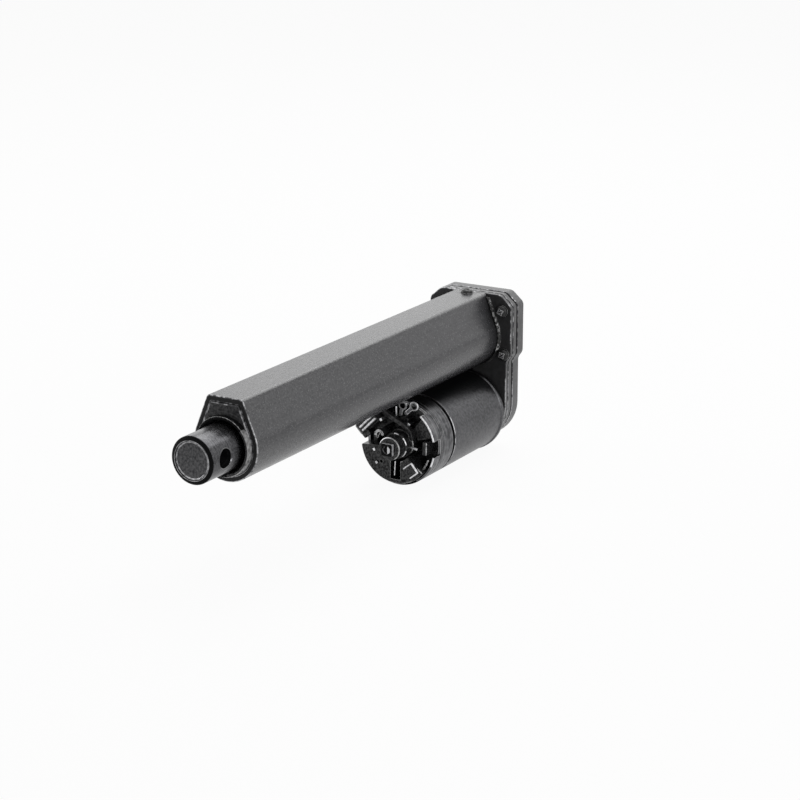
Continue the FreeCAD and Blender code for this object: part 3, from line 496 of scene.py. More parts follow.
@dataclass(frozen=True)
class Finish:
    """A surface finish, with its pattern sizes in millimetres.

    Attributes:
        name: Name of the material.
        tone: Main colour.
        shade: Colour of the darker patches.
        edge: Colour of edges where the surface is rubbed.
        roughness: Middle roughness.
        metallic: One for bare metal, none for paint, plastic and rubber.
        specular: Level of the mirror part, half for common paint and plastic.
        patch: Size of soft changes of tone.
        grain: Size of the fine grain.
        depth: Height of the grain.
        marks: Direction of tool lines.
        pitch: Spacing of the tool lines.
        score: Height of the tool lines.
        rub: Width of a rubbed edge.
        rubbed: Share of the edge colour there.
        axis_z: Height of the axis that turned lines run round.
        blotch: Half range of the pattern over which shade turns to tone; a small one gives hard blotches.
        mottle: Change of the mirror part from grain to grain, as a share of it.
        top_shade: Share of painted shade, a dull dark coat, on faces that look up.
        corner_shade: Reach of the ambient occlusion within which that painted shade also darkens corners.
    """

    name: str
    tone: str
    shade: str
    edge: str
    roughness: float
    metallic: float = 0.0
    specular: float = 0.5
    patch: float = 12.0
    grain: float = 0.5
    depth: float = 0.01
    marks: Marks = Marks.NONE
    pitch: float = 0.8
    score: float = 0.004
    rub: float = 0.25
    rubbed: float = 0.5
    axis_z: float = 0.0
    blotch: float = 0.35
    mottle: float = 0.0
    top_shade: float = 0.0
    corner_shade: float = 0.0

    def material(self) -> bpy.types.Material:
        """Gives the material, which is made the first time that it is asked for.

        Returns:
            The material.
        """
        made = bpy.data.materials.get(self.name)
        if made:
            return made
        made = bpy.data.materials.new(self.name)
        tree = cleared(made)
        where = add_node(tree, "ShaderNodeTexCoord", {}).outputs["Object"]
        patches = noise(tree, where, 1 / (self.patch * MM), PATCH_DETAIL)
        grain = noise(tree, where, 1 / (self.grain * MM))
        lines = self.lines(tree, where)
        spots = reckoned(tree, "ADD", patches, lines)
        spread = ramp(tree, spots, (1 - self.blotch, 1 + self.blotch))
        body = blended(tree, spread, linear(self.shade), linear(self.tone))
        colour = blended(tree, self.worn_edges(tree, patches), body, linear(self.edge))
        rough = ramp(tree, grain, ROUGH_SPAN, (self.roughness - ROUGH_SWING, self.roughness + ROUGH_SWING))
        dullest, glossiest = (self.specular * (1 + side * self.mottle) for side in (-1, 1))
        gloss = ramp(tree, grain, GLOSS_SPAN, (dullest, glossiest))
        pits = add_node(tree, "ShaderNodeBump", {"Height": grain, "Strength": 1.0,
                                                 "Distance": self.depth * MM}).outputs["Normal"]
        scored = add_node(tree, "ShaderNodeBump", {"Height": lines, "Strength": 1.0, "Normal": pits,
                                                   "Distance": self.score * MM}).outputs["Normal"]
        shader = add_node(tree, "ShaderNodeBsdfPrincipled",
                          {"Base Color": colour, "Roughness": rough, "Normal": scored,
                           "Metallic": self.metallic, "Specular IOR Level": gloss}).outputs["BSDF"]
        if self.top_shade or self.corner_shade:
            shader = self.shaded_over(tree, shader)
        add_node(tree, "ShaderNodeOutputMaterial", {"Surface": shader})
        return made

    def shaded_over(self, tree: Tree, clean: Socket) -> Socket:
        """Lays painted shade, a dull dark coat, over the faces that look up and into corners.

        Args:
            tree: Tree to add to.
            clean: Shader of the clean surface.

        Returns:
            The shader with the painted shade.
        """
        way = add_node(tree, "ShaderNodeNewGeometry", {}).outputs["True Normal"]
        up = add_node(tree, "ShaderNodeSeparateXYZ", {"Vector": way}).outputs["Z"]
        cover = ramp(tree, up, TOP_SHADE_SPAN, (0.0, self.top_shade))
        if self.corner_shade:
            open_air = add_node(tree, "ShaderNodeAmbientOcclusion", {"Distance": self.corner_shade * MM},
                                samples=AIR_SAMPLES).outputs["AO"]
            cover = reckoned(tree, "MAXIMUM", cover, ramp(tree, open_air, CORNER_SHADE_SPAN))
        dull = add_node(tree, "ShaderNodeBsdfDiffuse", {"Color": linear(SHADE_TONE)}).outputs["BSDF"]
        return add_node(tree, "ShaderNodeMixShader", {0: cover, 1: clean, 2: dull}).outputs["Shader"]

    def lines(self, tree: Tree, where: Socket) -> Socket:
        """Adds the tool lines.

        Args:
            tree: Tree to add to.
            where: Place on the piece.

        Returns:
            A value about one half that runs in lines.
        """
        fine, long = 1 / (self.pitch * MM), 1 / (LINE_STRETCH * self.pitch * MM)
        place = add_node(tree, "ShaderNodeMapping",
                         {"Vector": where, "Location": (0, 0, -self.axis_z * MM)}).outputs["Vector"]
        if self.marks is Marks.FACED:
            flat = add_node(tree, "ShaderNodeVectorMath", {0: place, 1: (0, 1, 1)}, operation="MULTIPLY")
            radius = add_node(tree, "ShaderNodeVectorMath", {0: flat.outputs["Vector"]}, operation="LENGTH")
            place = add_node(tree, "ShaderNodeCombineXYZ", {"X": radius.outputs["Value"]}).outputs["Vector"]
        scale = {Marks.NONE: (long, long, long), Marks.ALONG: (long, fine, fine),
                 Marks.AROUND: (fine, long, long), Marks.FACED: (fine, fine, fine)}[self.marks]
        drawn = add_node(tree, "ShaderNodeMapping", {"Vector": place, "Scale": scale}).outputs["Vector"]
        return noise(tree, drawn, 1.0)

    def worn_edges(self, tree: Tree, patches: Socket) -> Socket:
        """Adds a mask of the outer edges, where handling has rubbed the surface.

        Args:
            tree: Tree to add to.
            patches: Soft pattern that breaks the wear up.

        Returns:
            The share of the edge colour.
        """
        inside = add_node(tree, "ShaderNodeAmbientOcclusion", {"Distance": self.rub * MM},
                          samples=AIR_SAMPLES, inside=True, only_local=True).outputs["AO"]
        mask = ramp(tree, inside, EDGE_SPAN, (0.0, self.rubbed))
        return reckoned(tree, "MULTIPLY", mask, ramp(tree, patches, BROKEN_SPAN, BROKEN_SHARE))


MOTOR_AXIS_Z = sum(v.z for v in low_high("motor_shaft")) / 2

FINISHES: dict[str, Finish] = {
    # Drawn aluminium with a satin black coat: smooth enough to mirror the room softly, with faint draw lines
    # and a fine speckle that shows at a low angle; painted shade darkens it in the corners by the plate and
    # motor
    "tube_paint": Finish("satin_black_coat", "#464648", "#3A3A3C", "#8A8A8A", 0.24, specular=0.6, patch=1.6,
                         grain=0.6, depth=0.065, marks=Marks.ALONG, pitch=0.7, score=0.003, rub=0.35,
                         mottle=0.42, corner_shade=12.0),
    # Die-cast metal with a semi-matt black coat: fine orange peel, and edges rubbed pale
    "case_paint": Finish("semi_matt_cast_coat", "#5F5F60", "#464647", "#B4B4B4", 0.42, specular=0.55,
                         patch=2, depth=0.02, rub=0.4, rubbed=0.75, blotch=0.25, mottle=0.2),
    # Ground steel tube, blacked: a dark mirror-like metal with fine turned lines and a frosty speckle
    "rod_steel": Finish("blacked_ground_steel", "#58585A", "#3C3C3E", "#9A9A9A", 0.27, metallic=1.0,
                        patch=0.8, grain=0.4, depth=0.008, marks=Marks.AROUND, pitch=0.5, rub=0.3,
                        blotch=0.2),
    # Drawn steel with dark zinc: satin metal with a fine speckle, and painted shade, a dull dark coat, on the
    # faces that look up
    "motor_steel": Finish("dark_zinc_drawn_steel", "#606062", "#424244", "#D0D0D0", 0.33, metallic=1.0,
                          patch=0.9, depth=0.012, rub=0.3, rubbed=0.6, blotch=0.22, top_shade=1.0),
    # Glass-filled nylon, moulded black: a patchy, slightly glossy skin, greyed on its moulded edges
    "cap_plastic": Finish("moulded_glass_filled_nylon", "#29292A", "#0E0E0F", "#909090", 0.28,
                          specular=0.34, patch=1.1, grain=0.7, depth=0.02, rub=0.35, blotch=0.15,
                          mottle=0.8),
    # Dark acetal, turned on its face: dull and mottled, with faint rings
    "plug_plastic": Finish("turned_dark_acetal", "#424243", "#18181A", "#A0A0A0", 0.45, specular=0.34,
                           patch=1.0, grain=0.7, depth=0.02, marks=Marks.FACED, pitch=0.6, rub=0.4,
                           rubbed=0.8, blotch=0.15, mottle=0.7),
    # Nitrile rubber, moulded: matt and nearly black
    "black_rubber": Finish("moulded_nitrile_rubber", "#232323", "#1A1A1A", "#5A5A5A", 0.7, specular=0.25,
                           patch=2, grain=0.4, depth=0.012),
    # Sealing compound, cured: a pale, lumpy bead with dirt in its hollows
    "grey_sealer": Finish("cured_sealing_compound", "#F0F0F0", "#3A3A3A", "#B0B0B0", 0.6, specular=0.3,
                          patch=0.9, grain=0.6, depth=0.05, blotch=0.12),
    # Steel screws with black oxide: dark and slightly oily, bright where a driver has been
    "black_screw": Finish("black_oxide_screw_steel", "#1A1A1B", "#101011", "#F0F0F0", 0.3, specular=0.35,
                          patch=2, grain=0.4, depth=0.006, rub=0.3, rubbed=0.9),
    # Ground bearing steel: bright, with fine lines round the axis
    "bright_steel": Finish("ground_bright_steel", "#C4C4C6", "#AFAFB2", "#E0E0E0", 0.28, metallic=1.0,
                           patch=4, depth=0.002, marks=Marks.AROUND, pitch=0.4),
    # Brass, rolled or cut: warm yellow metal with faint lines from the rolls
    "brass": Finish("rolled_brass", "#D9B56C", "#C29A52", "#EBD08F", 0.3, metallic=1.0, patch=3,
                    depth=0.003, marks=Marks.ALONG, pitch=0.5),
    # Stamped brass with a tin skin: pale grey and softly bright
    "tinned_brass": Finish("tinned_stamped_brass", "#A4A4A5", "#3C3C3E", "#E4E4E4", 0.32, metallic=1.0,
                           patch=0.9, grain=0.4, depth=0.006, blotch=0.15),
    # Sintered bronze: pressed powder, open pores and a dull warm shine
    "bronze": Finish("sintered_bronze", "#B98E5A", "#936A3C", "#D0A873", 0.5, metallic=1.0, patch=2,
                     grain=0.4, depth=0.02),
    # Enamelled copper wire in bundles: fine ridges side by side
    "copper": Finish("enamelled_copper_wire", "#BE6F45", "#7E3F22", "#D08A60", 0.3, metallic=1.0, patch=3,
                     grain=0.4, marks=Marks.ALONG, pitch=0.45, score=0.05),
    # Natural acetal, moulded: milky white with a waxy skin
    "nylon": Finish("natural_acetal", "#E0DBCB", "#D2CCBA", "#EBE7DA", 0.42, patch=6, depth=0.006),
    # Pressed ferrite: charcoal grey, brittle and stony
    "ferrite": Finish("pressed_ferrite", "#4A4A4D", "#38383B", "#6A6A6D", 0.65, specular=0.4, patch=2,
                      depth=0.03),
    # Stacked iron sheets: grey, with the sheets as lines round the axis
    "core_iron": Finish("stacked_iron_sheets", "#8A8A8D", "#66666A", "#A8A8AA", 0.4, metallic=1.0, patch=3,
                        depth=0.008, marks=Marks.AROUND, pitch=0.5, score=0.05),
    # Pressed carbon: black, dull and dusty
    "carbon": Finish("pressed_carbon", "#2B2B2C", "#202021", "#4A4A4A", 0.6, specular=0.35, patch=1,
                     grain=0.4, depth=0.015),
}

# Sawn end of the tube, dipped black: matt, with a pale line where the coat has chipped off its edges
SAWN_END = Finish("blacked_sawn_end", "#1B1B1C", "#121213", "#9A9A9A", 0.55, specular=0.25, patch=2,
                  grain=0.4, depth=0.015, rub=0.35, rubbed=0.8)
# Face of the front plate: the same coat, made darker and duller as painted shade, so it stays nearly black
SHADED_PLATE_FACE = Finish("plate_face_painted_shade", "#363637", "#1E1E1F", "#8A8A8A", 0.6, specular=0.27, patch=2,
                    depth=0.03, rub=0.35, rubbed=0.6)
# Nearly black and dull: thick black oxide on the shaft end, the clip and the top screw, and painted shade in
# the rod's chamfer and cross hole, on the plug's nose and on the band's rim: takes the light away
BLACK_AND_SHADE = Finish("black_oxide_and_painted_shade", "#121213", "#0C0C0D", "#5A5A5A", 0.6, specular=0.05, patch=1.5,
                 grain=0.4, depth=0.008, rubbed=0.2)
# Freshly cut steel, left bare: pale metal with tool lines
BARE_CUT = Finish("bare_cut_steel", "#B6B6B8", "#5C5C5E", "#DADADA", 0.3, metallic=1.0, patch=1.2,
                  grain=0.4, depth=0.006, marks=Marks.FACED, pitch=0.4, blotch=0.15)
# Bright zinc, the brightest metal, rough enough to take light from all round: bare on the clip's sheared
# sides, and as painted glints on bevels, screw heads and the band's rim where light catches them
ZINC_AND_GLINT = Finish("bright_zinc_and_painted_glint", "#E6E6E8", "#9A9A9C", "#F2F2F2", 0.5, metallic=1.0, patch=1.0,
                     grain=0.4, depth=0.006, blotch=0.2)
# Edges with a thin black coat, rubbed through: broken pale lines; on the can's lip only where light catches
# it, as a painted highlight
RUBBED_AND_GLINT_COAT = Finish("coat_rubbed_and_painted_glint", "#B4B4B6", "#3C3C3E", "#D0D0D0", 0.42, metallic=1.0, patch=1.6,
                     grain=0.4, depth=0.008, blotch=0.12)
# Painted glints on the edges of dark mouldings: pale, glossy, broken chalky lines
GLINT_EDGE = Finish("moulding_edge_painted_glint", "#D2D2D2", "#4A4A4A", "#E0E0E0", 0.22, specular=1.0, patch=0.9,
                 grain=0.4, blotch=0.15)
# The same sealer under the tube, painted dark as shade
SHADED_SEALER = Finish("sealing_compound_painted_shade", "#3A3A3A", "#141414", "#606060", 0.6, specular=0.2,
                      patch=0.9, grain=0.6, depth=0.05, blotch=0.12)
# Side of the plug's nose where light falls, painted light: grey and streaked
LIT_NOSE = Finish("acetal_nose_painted_light", "#BEBEBE", "#525252", "#C0C0C0", 0.35, patch=1.2, blotch=0.2)
# Tin strip made dark: painted shade on the left terminal, in the tube's shadow, and the same dark tin on the
# right one's face, the hook's sides, the blade and the rivets
DARK_AND_SHADED_TIN = Finish("dark_tin_and_painted_shade", "#5E5E60", "#2A2A2C", "#B0B0B0", 0.4, metallic=1.0, patch=0.9, grain=0.4,
                  blotch=0.15)
# Steel of the motor's band: the same zinc over coarse lines from the rolls, with painted shade on the faces
# that look up
BAND_STEEL = Finish("rolled_band_steel", "#747476", "#464648", "#D0D0D0", 0.33, metallic=1.0, patch=2.5,
                    depth=0.006, marks=Marks.AROUND, pitch=0.45, score=0.01, axis_z=MOTOR_AXIS_Z, rub=0.3,
                    rubbed=0.6, blotch=0.16, top_shade=1.0)
# Faced disc in the rod's end: dull dark metal, mottled by the blacking bath
END_DISC = Finish("mottled_blacked_disc", "#5E5E5F", "#353537", "#8A8A8A", 0.4, metallic=1.0, patch=0.8,
                  grain=0.4, rub=0.3, rubbed=0.3, blotch=0.18)


# Sub-assemblies


def slants(way: Vector) -> bool:
    """Tells whether a face leans forward as the bevel of a front edge does."""
    return LEANING < way.x < FLAT


@dataclass(frozen=True)
class Zone:
    """A part of the ring round the motor's axis.

    Attributes:
        turn: First and last angle in degrees; 0 is +Y and 90 is +Z.
        radii: Inner and outer radius.
        back: Its rear end along X.
    """

    turn: tuple[float, float]
    radii: tuple[float, float]
    back: float

    def holds(self, point: Vector) -> bool:
        """Tells whether a point lies in the zone."""
        y, z = point.y, point.z - MOTOR_AXIS_Z
        past = (math.degrees(math.atan2(z, y)) - self.turn[0]) % 360
        return (point.x > self.back and self.radii[0] < math.hypot(y, z) < self.radii[1]
                and past < self.turn[1] - self.turn[0])


class SubAssembly:
    """A group of pieces that is built and dressed together."""

    def build(self) -> None:
        """Builds and dresses the pieces."""
        raise NotImplementedError

    def dress(self, form: Form, name: str, node: str, *finishes: Finish) -> bpy.types.Object:
        """Turns a form into a finished piece that stands for a node.

        Args:
            form: The shape, in millimetres.
            name: Name of the piece.
            node: Node that it stands for.
            finishes: Finishes by face index, where they aren't just that of the node's slot.

        Returns:
            The piece.
        """
        bmesh.ops.scale(form.bm, vec=(MM, MM, MM), verts=form.bm.verts)
        mesh = form.mesh(name)
        mesh.shade_smooth()
        mesh.set_sharp_from_angle(angle=math.radians(SHARP_ANGLE))
        piece = added(name, mesh)
        even = piece.modifiers.new("even_normals", "WEIGHTED_NORMAL")
        even.keep_sharp = True
        for finish in finishes or (FINISHES[slot_of(node)],):
            mesh.materials.append(finish.material())
        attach(piece, body_of(node))
        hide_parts(node)
        LOG.info("%s stands for %s with %d faces", name, node, len(mesh.polygons))
        return piece


@dataclass
class PanScrew:
    """A pan-head screw with a cross recess.

    Attributes:
        head_r: Radius of the head.
        head: Height of the head.
        shank_r: Radius of the shank.
        shank: Length of the shank.
        arm: Half length of the recess's arms.
        slit: Half width of the recess's arms.
        crown: Share of the head's height that is rounded.
        crown_rounds: Roundings below and above the crown, as shares of it.
        top: Share of the head's radius that is nearly flat.
        sink: Depth of the recess as a share of the head's height.
    """

    head_r: float
    head: float
    shank_r: float
    shank: float
    arm: float = 1.2
    slit: float = 0.24
    crown: float = 0.35
    crown_rounds: tuple[float, float] = (0.9, 0.5)
    top: float = 0.55
    sink: float = 0.6

    def form(self, foot: Vector, way: Vector, twist: float = 20) -> Form:
        """Makes the screw.

        Args:
            foot: Middle of the head's seat.
            way: Direction in which the head stands up.
            twist: Turn of the recess in degrees.

        Returns:
            The screw's form.
        """
        crown, floor = self.crown * self.head, (1 - self.sink) * self.head
        below, above = (share * crown for share in self.crown_rounds)
        screw = Form.turned([Corner(-self.shank, 0), Corner(-self.shank, self.shank_r),
                             Corner(0, self.shank_r), Corner(0, self.head_r),
                             Corner(self.head - crown, self.head_r, below),
                             Corner(self.head, self.top * self.head_r, above), Corner(self.head, 0)],
                            steps=SMALL_TURN)
        arms = [Form.block((floor, -a, -b), (self.head + PAST, a, b))
                for a, b in ((self.arm, self.slit), (self.slit, self.arm))]
        screw.combined(Combine.CUT, arms)
        screw.marked(1, lambda middle, face: face.x > FACING and middle.x > self.head - NEAR)
        turn = way.to_track_quat("X", "Z").to_matrix().to_4x4()
        return screw.placed(Matrix.Translation(foot) @ turn @ swung(Vector(), math.radians(twist)))


@dataclass
class CoverTube(SubAssembly):
    """The cover tube with the plug and wiper in its mouth, its foot seal and its top screw."""

    flat_half: float = 6.7
    belly_r: float = 12.15
    wall: float = 2.0
    edge: float = 0.9
    inner_edge: float = 0.3
    rim: float = 0.35
    plug_edge: float = 0.6
    plug_rise: float = 0.35
    nose_r: float = 10.0
    nose_bore: float = 8.9
    nose_edge: float = 0.4
    nose_rim: float = 0.25
    # Angles of the nose's side that is painted light, where light falls on it; the rest of the nose is
    # painted shade
    nose_lit: tuple[float, float] = (-80, 42)
    lip: float = 0.5
    lip_rise: float = 1.4
    lip_round: float = 0.2
    wiper_gap: float = 0.05
    seal: float = 0.9
    seal_round: float = 0.45
    # Height under which the bead is painted shade, under the tube
    shaded_below: float = -5.0
    screw: PanScrew = field(default_factory=lambda: PanScrew(2.1, 1.4, 1.25, 5.9, 1.1))

    def __post_init__(self) -> None:
        """Reads the tube's ends and top from the frame."""
        low, high = low_high("cover_tube")
        self.back, self.front, self.top = low.x, high.x, high.z
        self.tilt = math.atan2(self.top, self.flat_half) - math.acos(
            self.belly_r / math.hypot(self.top, self.flat_half))

    def section(self, inset: float, rounding: float) -> Section:
        """Gives the tube's outline, moved inwards.

        Args:
            inset: Distance that it is moved by.
            rounding: Rounding of its top corners.

        Returns:
            The outline.
        """
        belly, top = self.belly_r - inset, self.top - inset
        half = (belly - top * math.sin(self.tilt)) / math.cos(self.tilt)
        side = Corner(belly * math.cos(self.tilt), belly * math.sin(self.tilt))
        return Section((Corner(half, top, rounding), side), 0.0)

    def build(self) -> None:
        """Builds and dresses the tube and what it carries."""
        tube = Form.drawn([self.section(0, self.edge), self.section(self.wall, self.inner_edge)],
                          self.back, self.front)
        tube.eased(self.rim, where=lambda p: p.x > self.front - NEAR, angle=RIM_ANGLE)
        tube.marked(1, lambda middle, way: way.x > FACING and middle.x > self.front - self.rim)
        tube.marked(2, lambda middle, way: slants(way) and middle.x > self.front - self.rim - NEAR)
        self.dress(tube, "tube_shell", "cover_tube", FINISHES["tube_paint"], SAWN_END, RUBBED_AND_GLINT_COAT)
        self.dress(self.plug(), "mouth_plug", "front_plug", FINISHES["plug_plastic"], RUBBED_AND_GLINT_COAT, LIT_NOSE,
                   BLACK_AND_SHADE, GLINT_EDGE)
        self.dress(self.wiper(), "wiper_ring", "rod_wiper")
        # The bead's part under the tube is painted shade
        bead = self.foot_seal().marked(1, lambda middle, way: middle.z < self.shaded_below)
        self.dress(bead, "foot_bead", "tube_seal", FINISHES["grey_sealer"], SHADED_SEALER)
        low, high = low_high("tube_screw")
        seat = Vector(((low.x + high.x) / 2, 0, self.top))
        self.dress(self.screw.form(seat, Vector((0, 0, 1))), "top_screw", "tube_screw",
                   FINISHES["black_screw"], BLACK_AND_SHADE)

    def plug(self) -> Form:
        """Makes the plug in the tube's mouth, with a round nose that the rod runs through."""
        low, high = low_high("front_plug")
        seat = low_high("rod_wiper")[1]
        face, lip = self.front + self.plug_rise, self.nose_bore + self.nose_rim
        plug = Form.drawn([self.section(self.wall, self.inner_edge)], low.x, face)
        plug.eased(self.plug_edge, where=lambda p: p.x > face - NEAR, angle=RIM_ANGLE)
        nose = Form.turned([Corner(seat.x, 0), Corner(seat.x, self.nose_r),
                            Corner(high.x, self.nose_r, self.nose_edge), Corner(high.x, 0)])
        mouth = Form.turned([Corner(low.x - PAST, 0), Corner(low.x - PAST, seat.y), Corner(seat.x, seat.y),
                             Corner(seat.x, self.nose_bore), Corner(high.x - self.nose_rim, self.nose_bore),
                             Corner(high.x, lip), Corner(high.x + PAST, lip), Corner(high.x + PAST, 0)])
        plug.combined(Combine.JOIN, [nose]).combined(Combine.CUT, [mouth])

        def on_nose(point: Vector) -> bool:
            """Tells whether a point lies on the nose."""
            return point.x > face + NEAR

        def on_outside(point: Vector) -> bool:
            """Tells whether a point lies on the outside of the nose."""
            return on_nose(point) and math.hypot(point.y, point.z) > self.nose_r - self.nose_edge

        # Painted light on the plug: its nose's side where light falls is pale grey, the rest of the nose
        # painted shade in black, and its bevels pale
        plug.marked(1, lambda middle, way: slants(way) and middle.x < face)
        plug.marked(3, lambda middle, way: on_nose(middle) and not self.on_lit_side(middle))
        plug.marked(4, lambda middle, way: LEANING < way.x < STEEP and on_outside(middle))
        return plug.marked(2, lambda middle, way: way.x < FACING and on_outside(middle)
                           and self.on_lit_side(middle))

    def on_lit_side(self, point: Vector) -> bool:
        """Tells whether a point of the nose lies on its side that is painted light; the rest of the nose is
        painted shade in black.
        """
        return self.nose_lit[0] < math.degrees(math.atan2(point.z, point.y)) < self.nose_lit[1]

    def wiper(self) -> Form:
        """Makes the rubber ring that wipes the rod: a flat collar and a raised lip against the rod."""
        low, high = low_high("rod_wiper")
        bore = low_high("extension_tube")[1].y + self.wiper_gap
        collar = high.x - self.lip_rise
        return Form.turned([Corner(low.x, bore), Corner(low.x, high.y), Corner(collar, high.y),
                            Corner(collar, bore + 2 * self.lip, self.lip_round),
                            Corner(high.x, bore + self.lip, self.lip_round), Corner(high.x, bore)])

    def foot_seal(self) -> Form:
        """Makes the bead of sealer round the tube's foot, open at the top."""
        low, high = low_high("tube_seal")
        bead = Form.drawn([self.section(-self.seal, self.edge), self.section(0, self.edge)], low.x, high.x)
        bead.eased(self.seal_round, segments=3, where=lambda p: p.x > high.x - NEAR, angle=RIM_ANGLE)
        reach = high.y + PAST
        above = Form.block((low.x - PAST, -reach, high.z), (high.x + PAST, reach, high.z + reach))
        return bead.combined(Combine.CUT, [above])


@dataclass
class Rod(SubAssembly):
    """The sliding rod: its tube, the plug in its end and the cross hole through both."""

    wall: float = 1.5875
    chamfer: float = 0.6
    chamfer_in: float = 1.3
    back_round: float = 0.3
    chamfer_rounds: tuple[float, float, float] = (0.2, 0.15, 0.12)
    hole_r: float = 3.2
    hole_sink: float = 0.45
    hole_steps: int = 64
    plug_edge: float = 0.2
    plug_lip: float = 0.5
    plug_sink: float = 0.15
    steps: int = 128

    def __post_init__(self) -> None:
        """Reads the rod's ends, radius and pin hole from the frame."""
        low, high = low_high("extension_tube")
        self.back, self.tip, self.r = low.x, high.x, high.y
        mount = next(m for m in frame["record"]["mounts"] if m["name"] == "rod_pin_hole")
        self.hole = Vector(mount["pos_m"]) / MM

    def build(self) -> None:
        """Builds and dresses the rod."""
        bore, (outer_round, middle_round, inner_round) = self.r - self.wall, self.chamfer_rounds
        sleeve = Form.turned([Corner(self.back, bore), Corner(self.back, self.r, self.back_round),
                              Corner(self.tip - self.chamfer, self.r, outer_round),
                              Corner(self.tip, self.r - self.chamfer_in, middle_round),
                              Corner(self.tip, bore, inner_round)], steps=self.steps)
        sleeve.combined(Combine.CUT, [self.hole_cutter()])
        near_tip = self.tip - self.chamfer - NEAR
        # The chamfer and the cross hole are painted shade in black
        sleeve.marked(1, lambda middle, way: middle.x > near_tip and way.x > LEANING or self.in_hole(middle))
        sleeve.marked(2, lambda middle, way: middle.x > near_tip and way.x > FLAT)
        self.dress(sleeve, "rod_sleeve", "extension_tube", FINISHES["rod_steel"], BLACK_AND_SHADE, BARE_CUT)
        low, high = low_high("rod_end_plug")
        inner, sunk = bore - self.plug_lip, high.x - self.plug_sink
        disc = Form.turned([Corner(low.x, 0), Corner(low.x, bore), Corner(high.x, bore, self.plug_edge),
                            Corner(high.x, inner), Corner(sunk, inner - self.plug_sink), Corner(sunk, 0)],
                           steps=self.steps)
        disc.combined(Combine.CUT, [self.hole_cutter()])
        # The cross hole is painted shade in black
        disc.marked(1, lambda middle, way: self.in_hole(middle))
        rim = inner - self.plug_sink
        disc.marked(2, lambda middle, way: way.x > LEANING and math.hypot(middle.y, middle.z) > rim)
        self.dress(disc, "rod_end_disc", "rod_end_plug", END_DISC, BLACK_AND_SHADE, BARE_CUT)

    def in_hole(self, point: Vector) -> bool:
        """Tells whether a point lies on the wall of the cross hole."""
        return math.hypot(point.x - self.hole.x, point.z) < self.hole_r + NEAR

    def hole_cutter(self) -> Form:
        """Makes the cutter for the cross hole: a drill that widens into a countersink at each end."""
        outside, sunk, wide = self.r + PAST, self.r - self.hole_sink, self.hole_r + self.hole_sink + PAST
        drill = Form.turned([Corner(-outside, 0), Corner(-outside, wide), Corner(-sunk, self.hole_r),
                             Corner(sunk, self.hole_r), Corner(outside, wide), Corner(outside, 0)],
                            steps=self.hole_steps)
        return drill.placed(Matrix.Translation(self.hole) @ Matrix.Rotation(math.pi / 2, 4, "Z"))


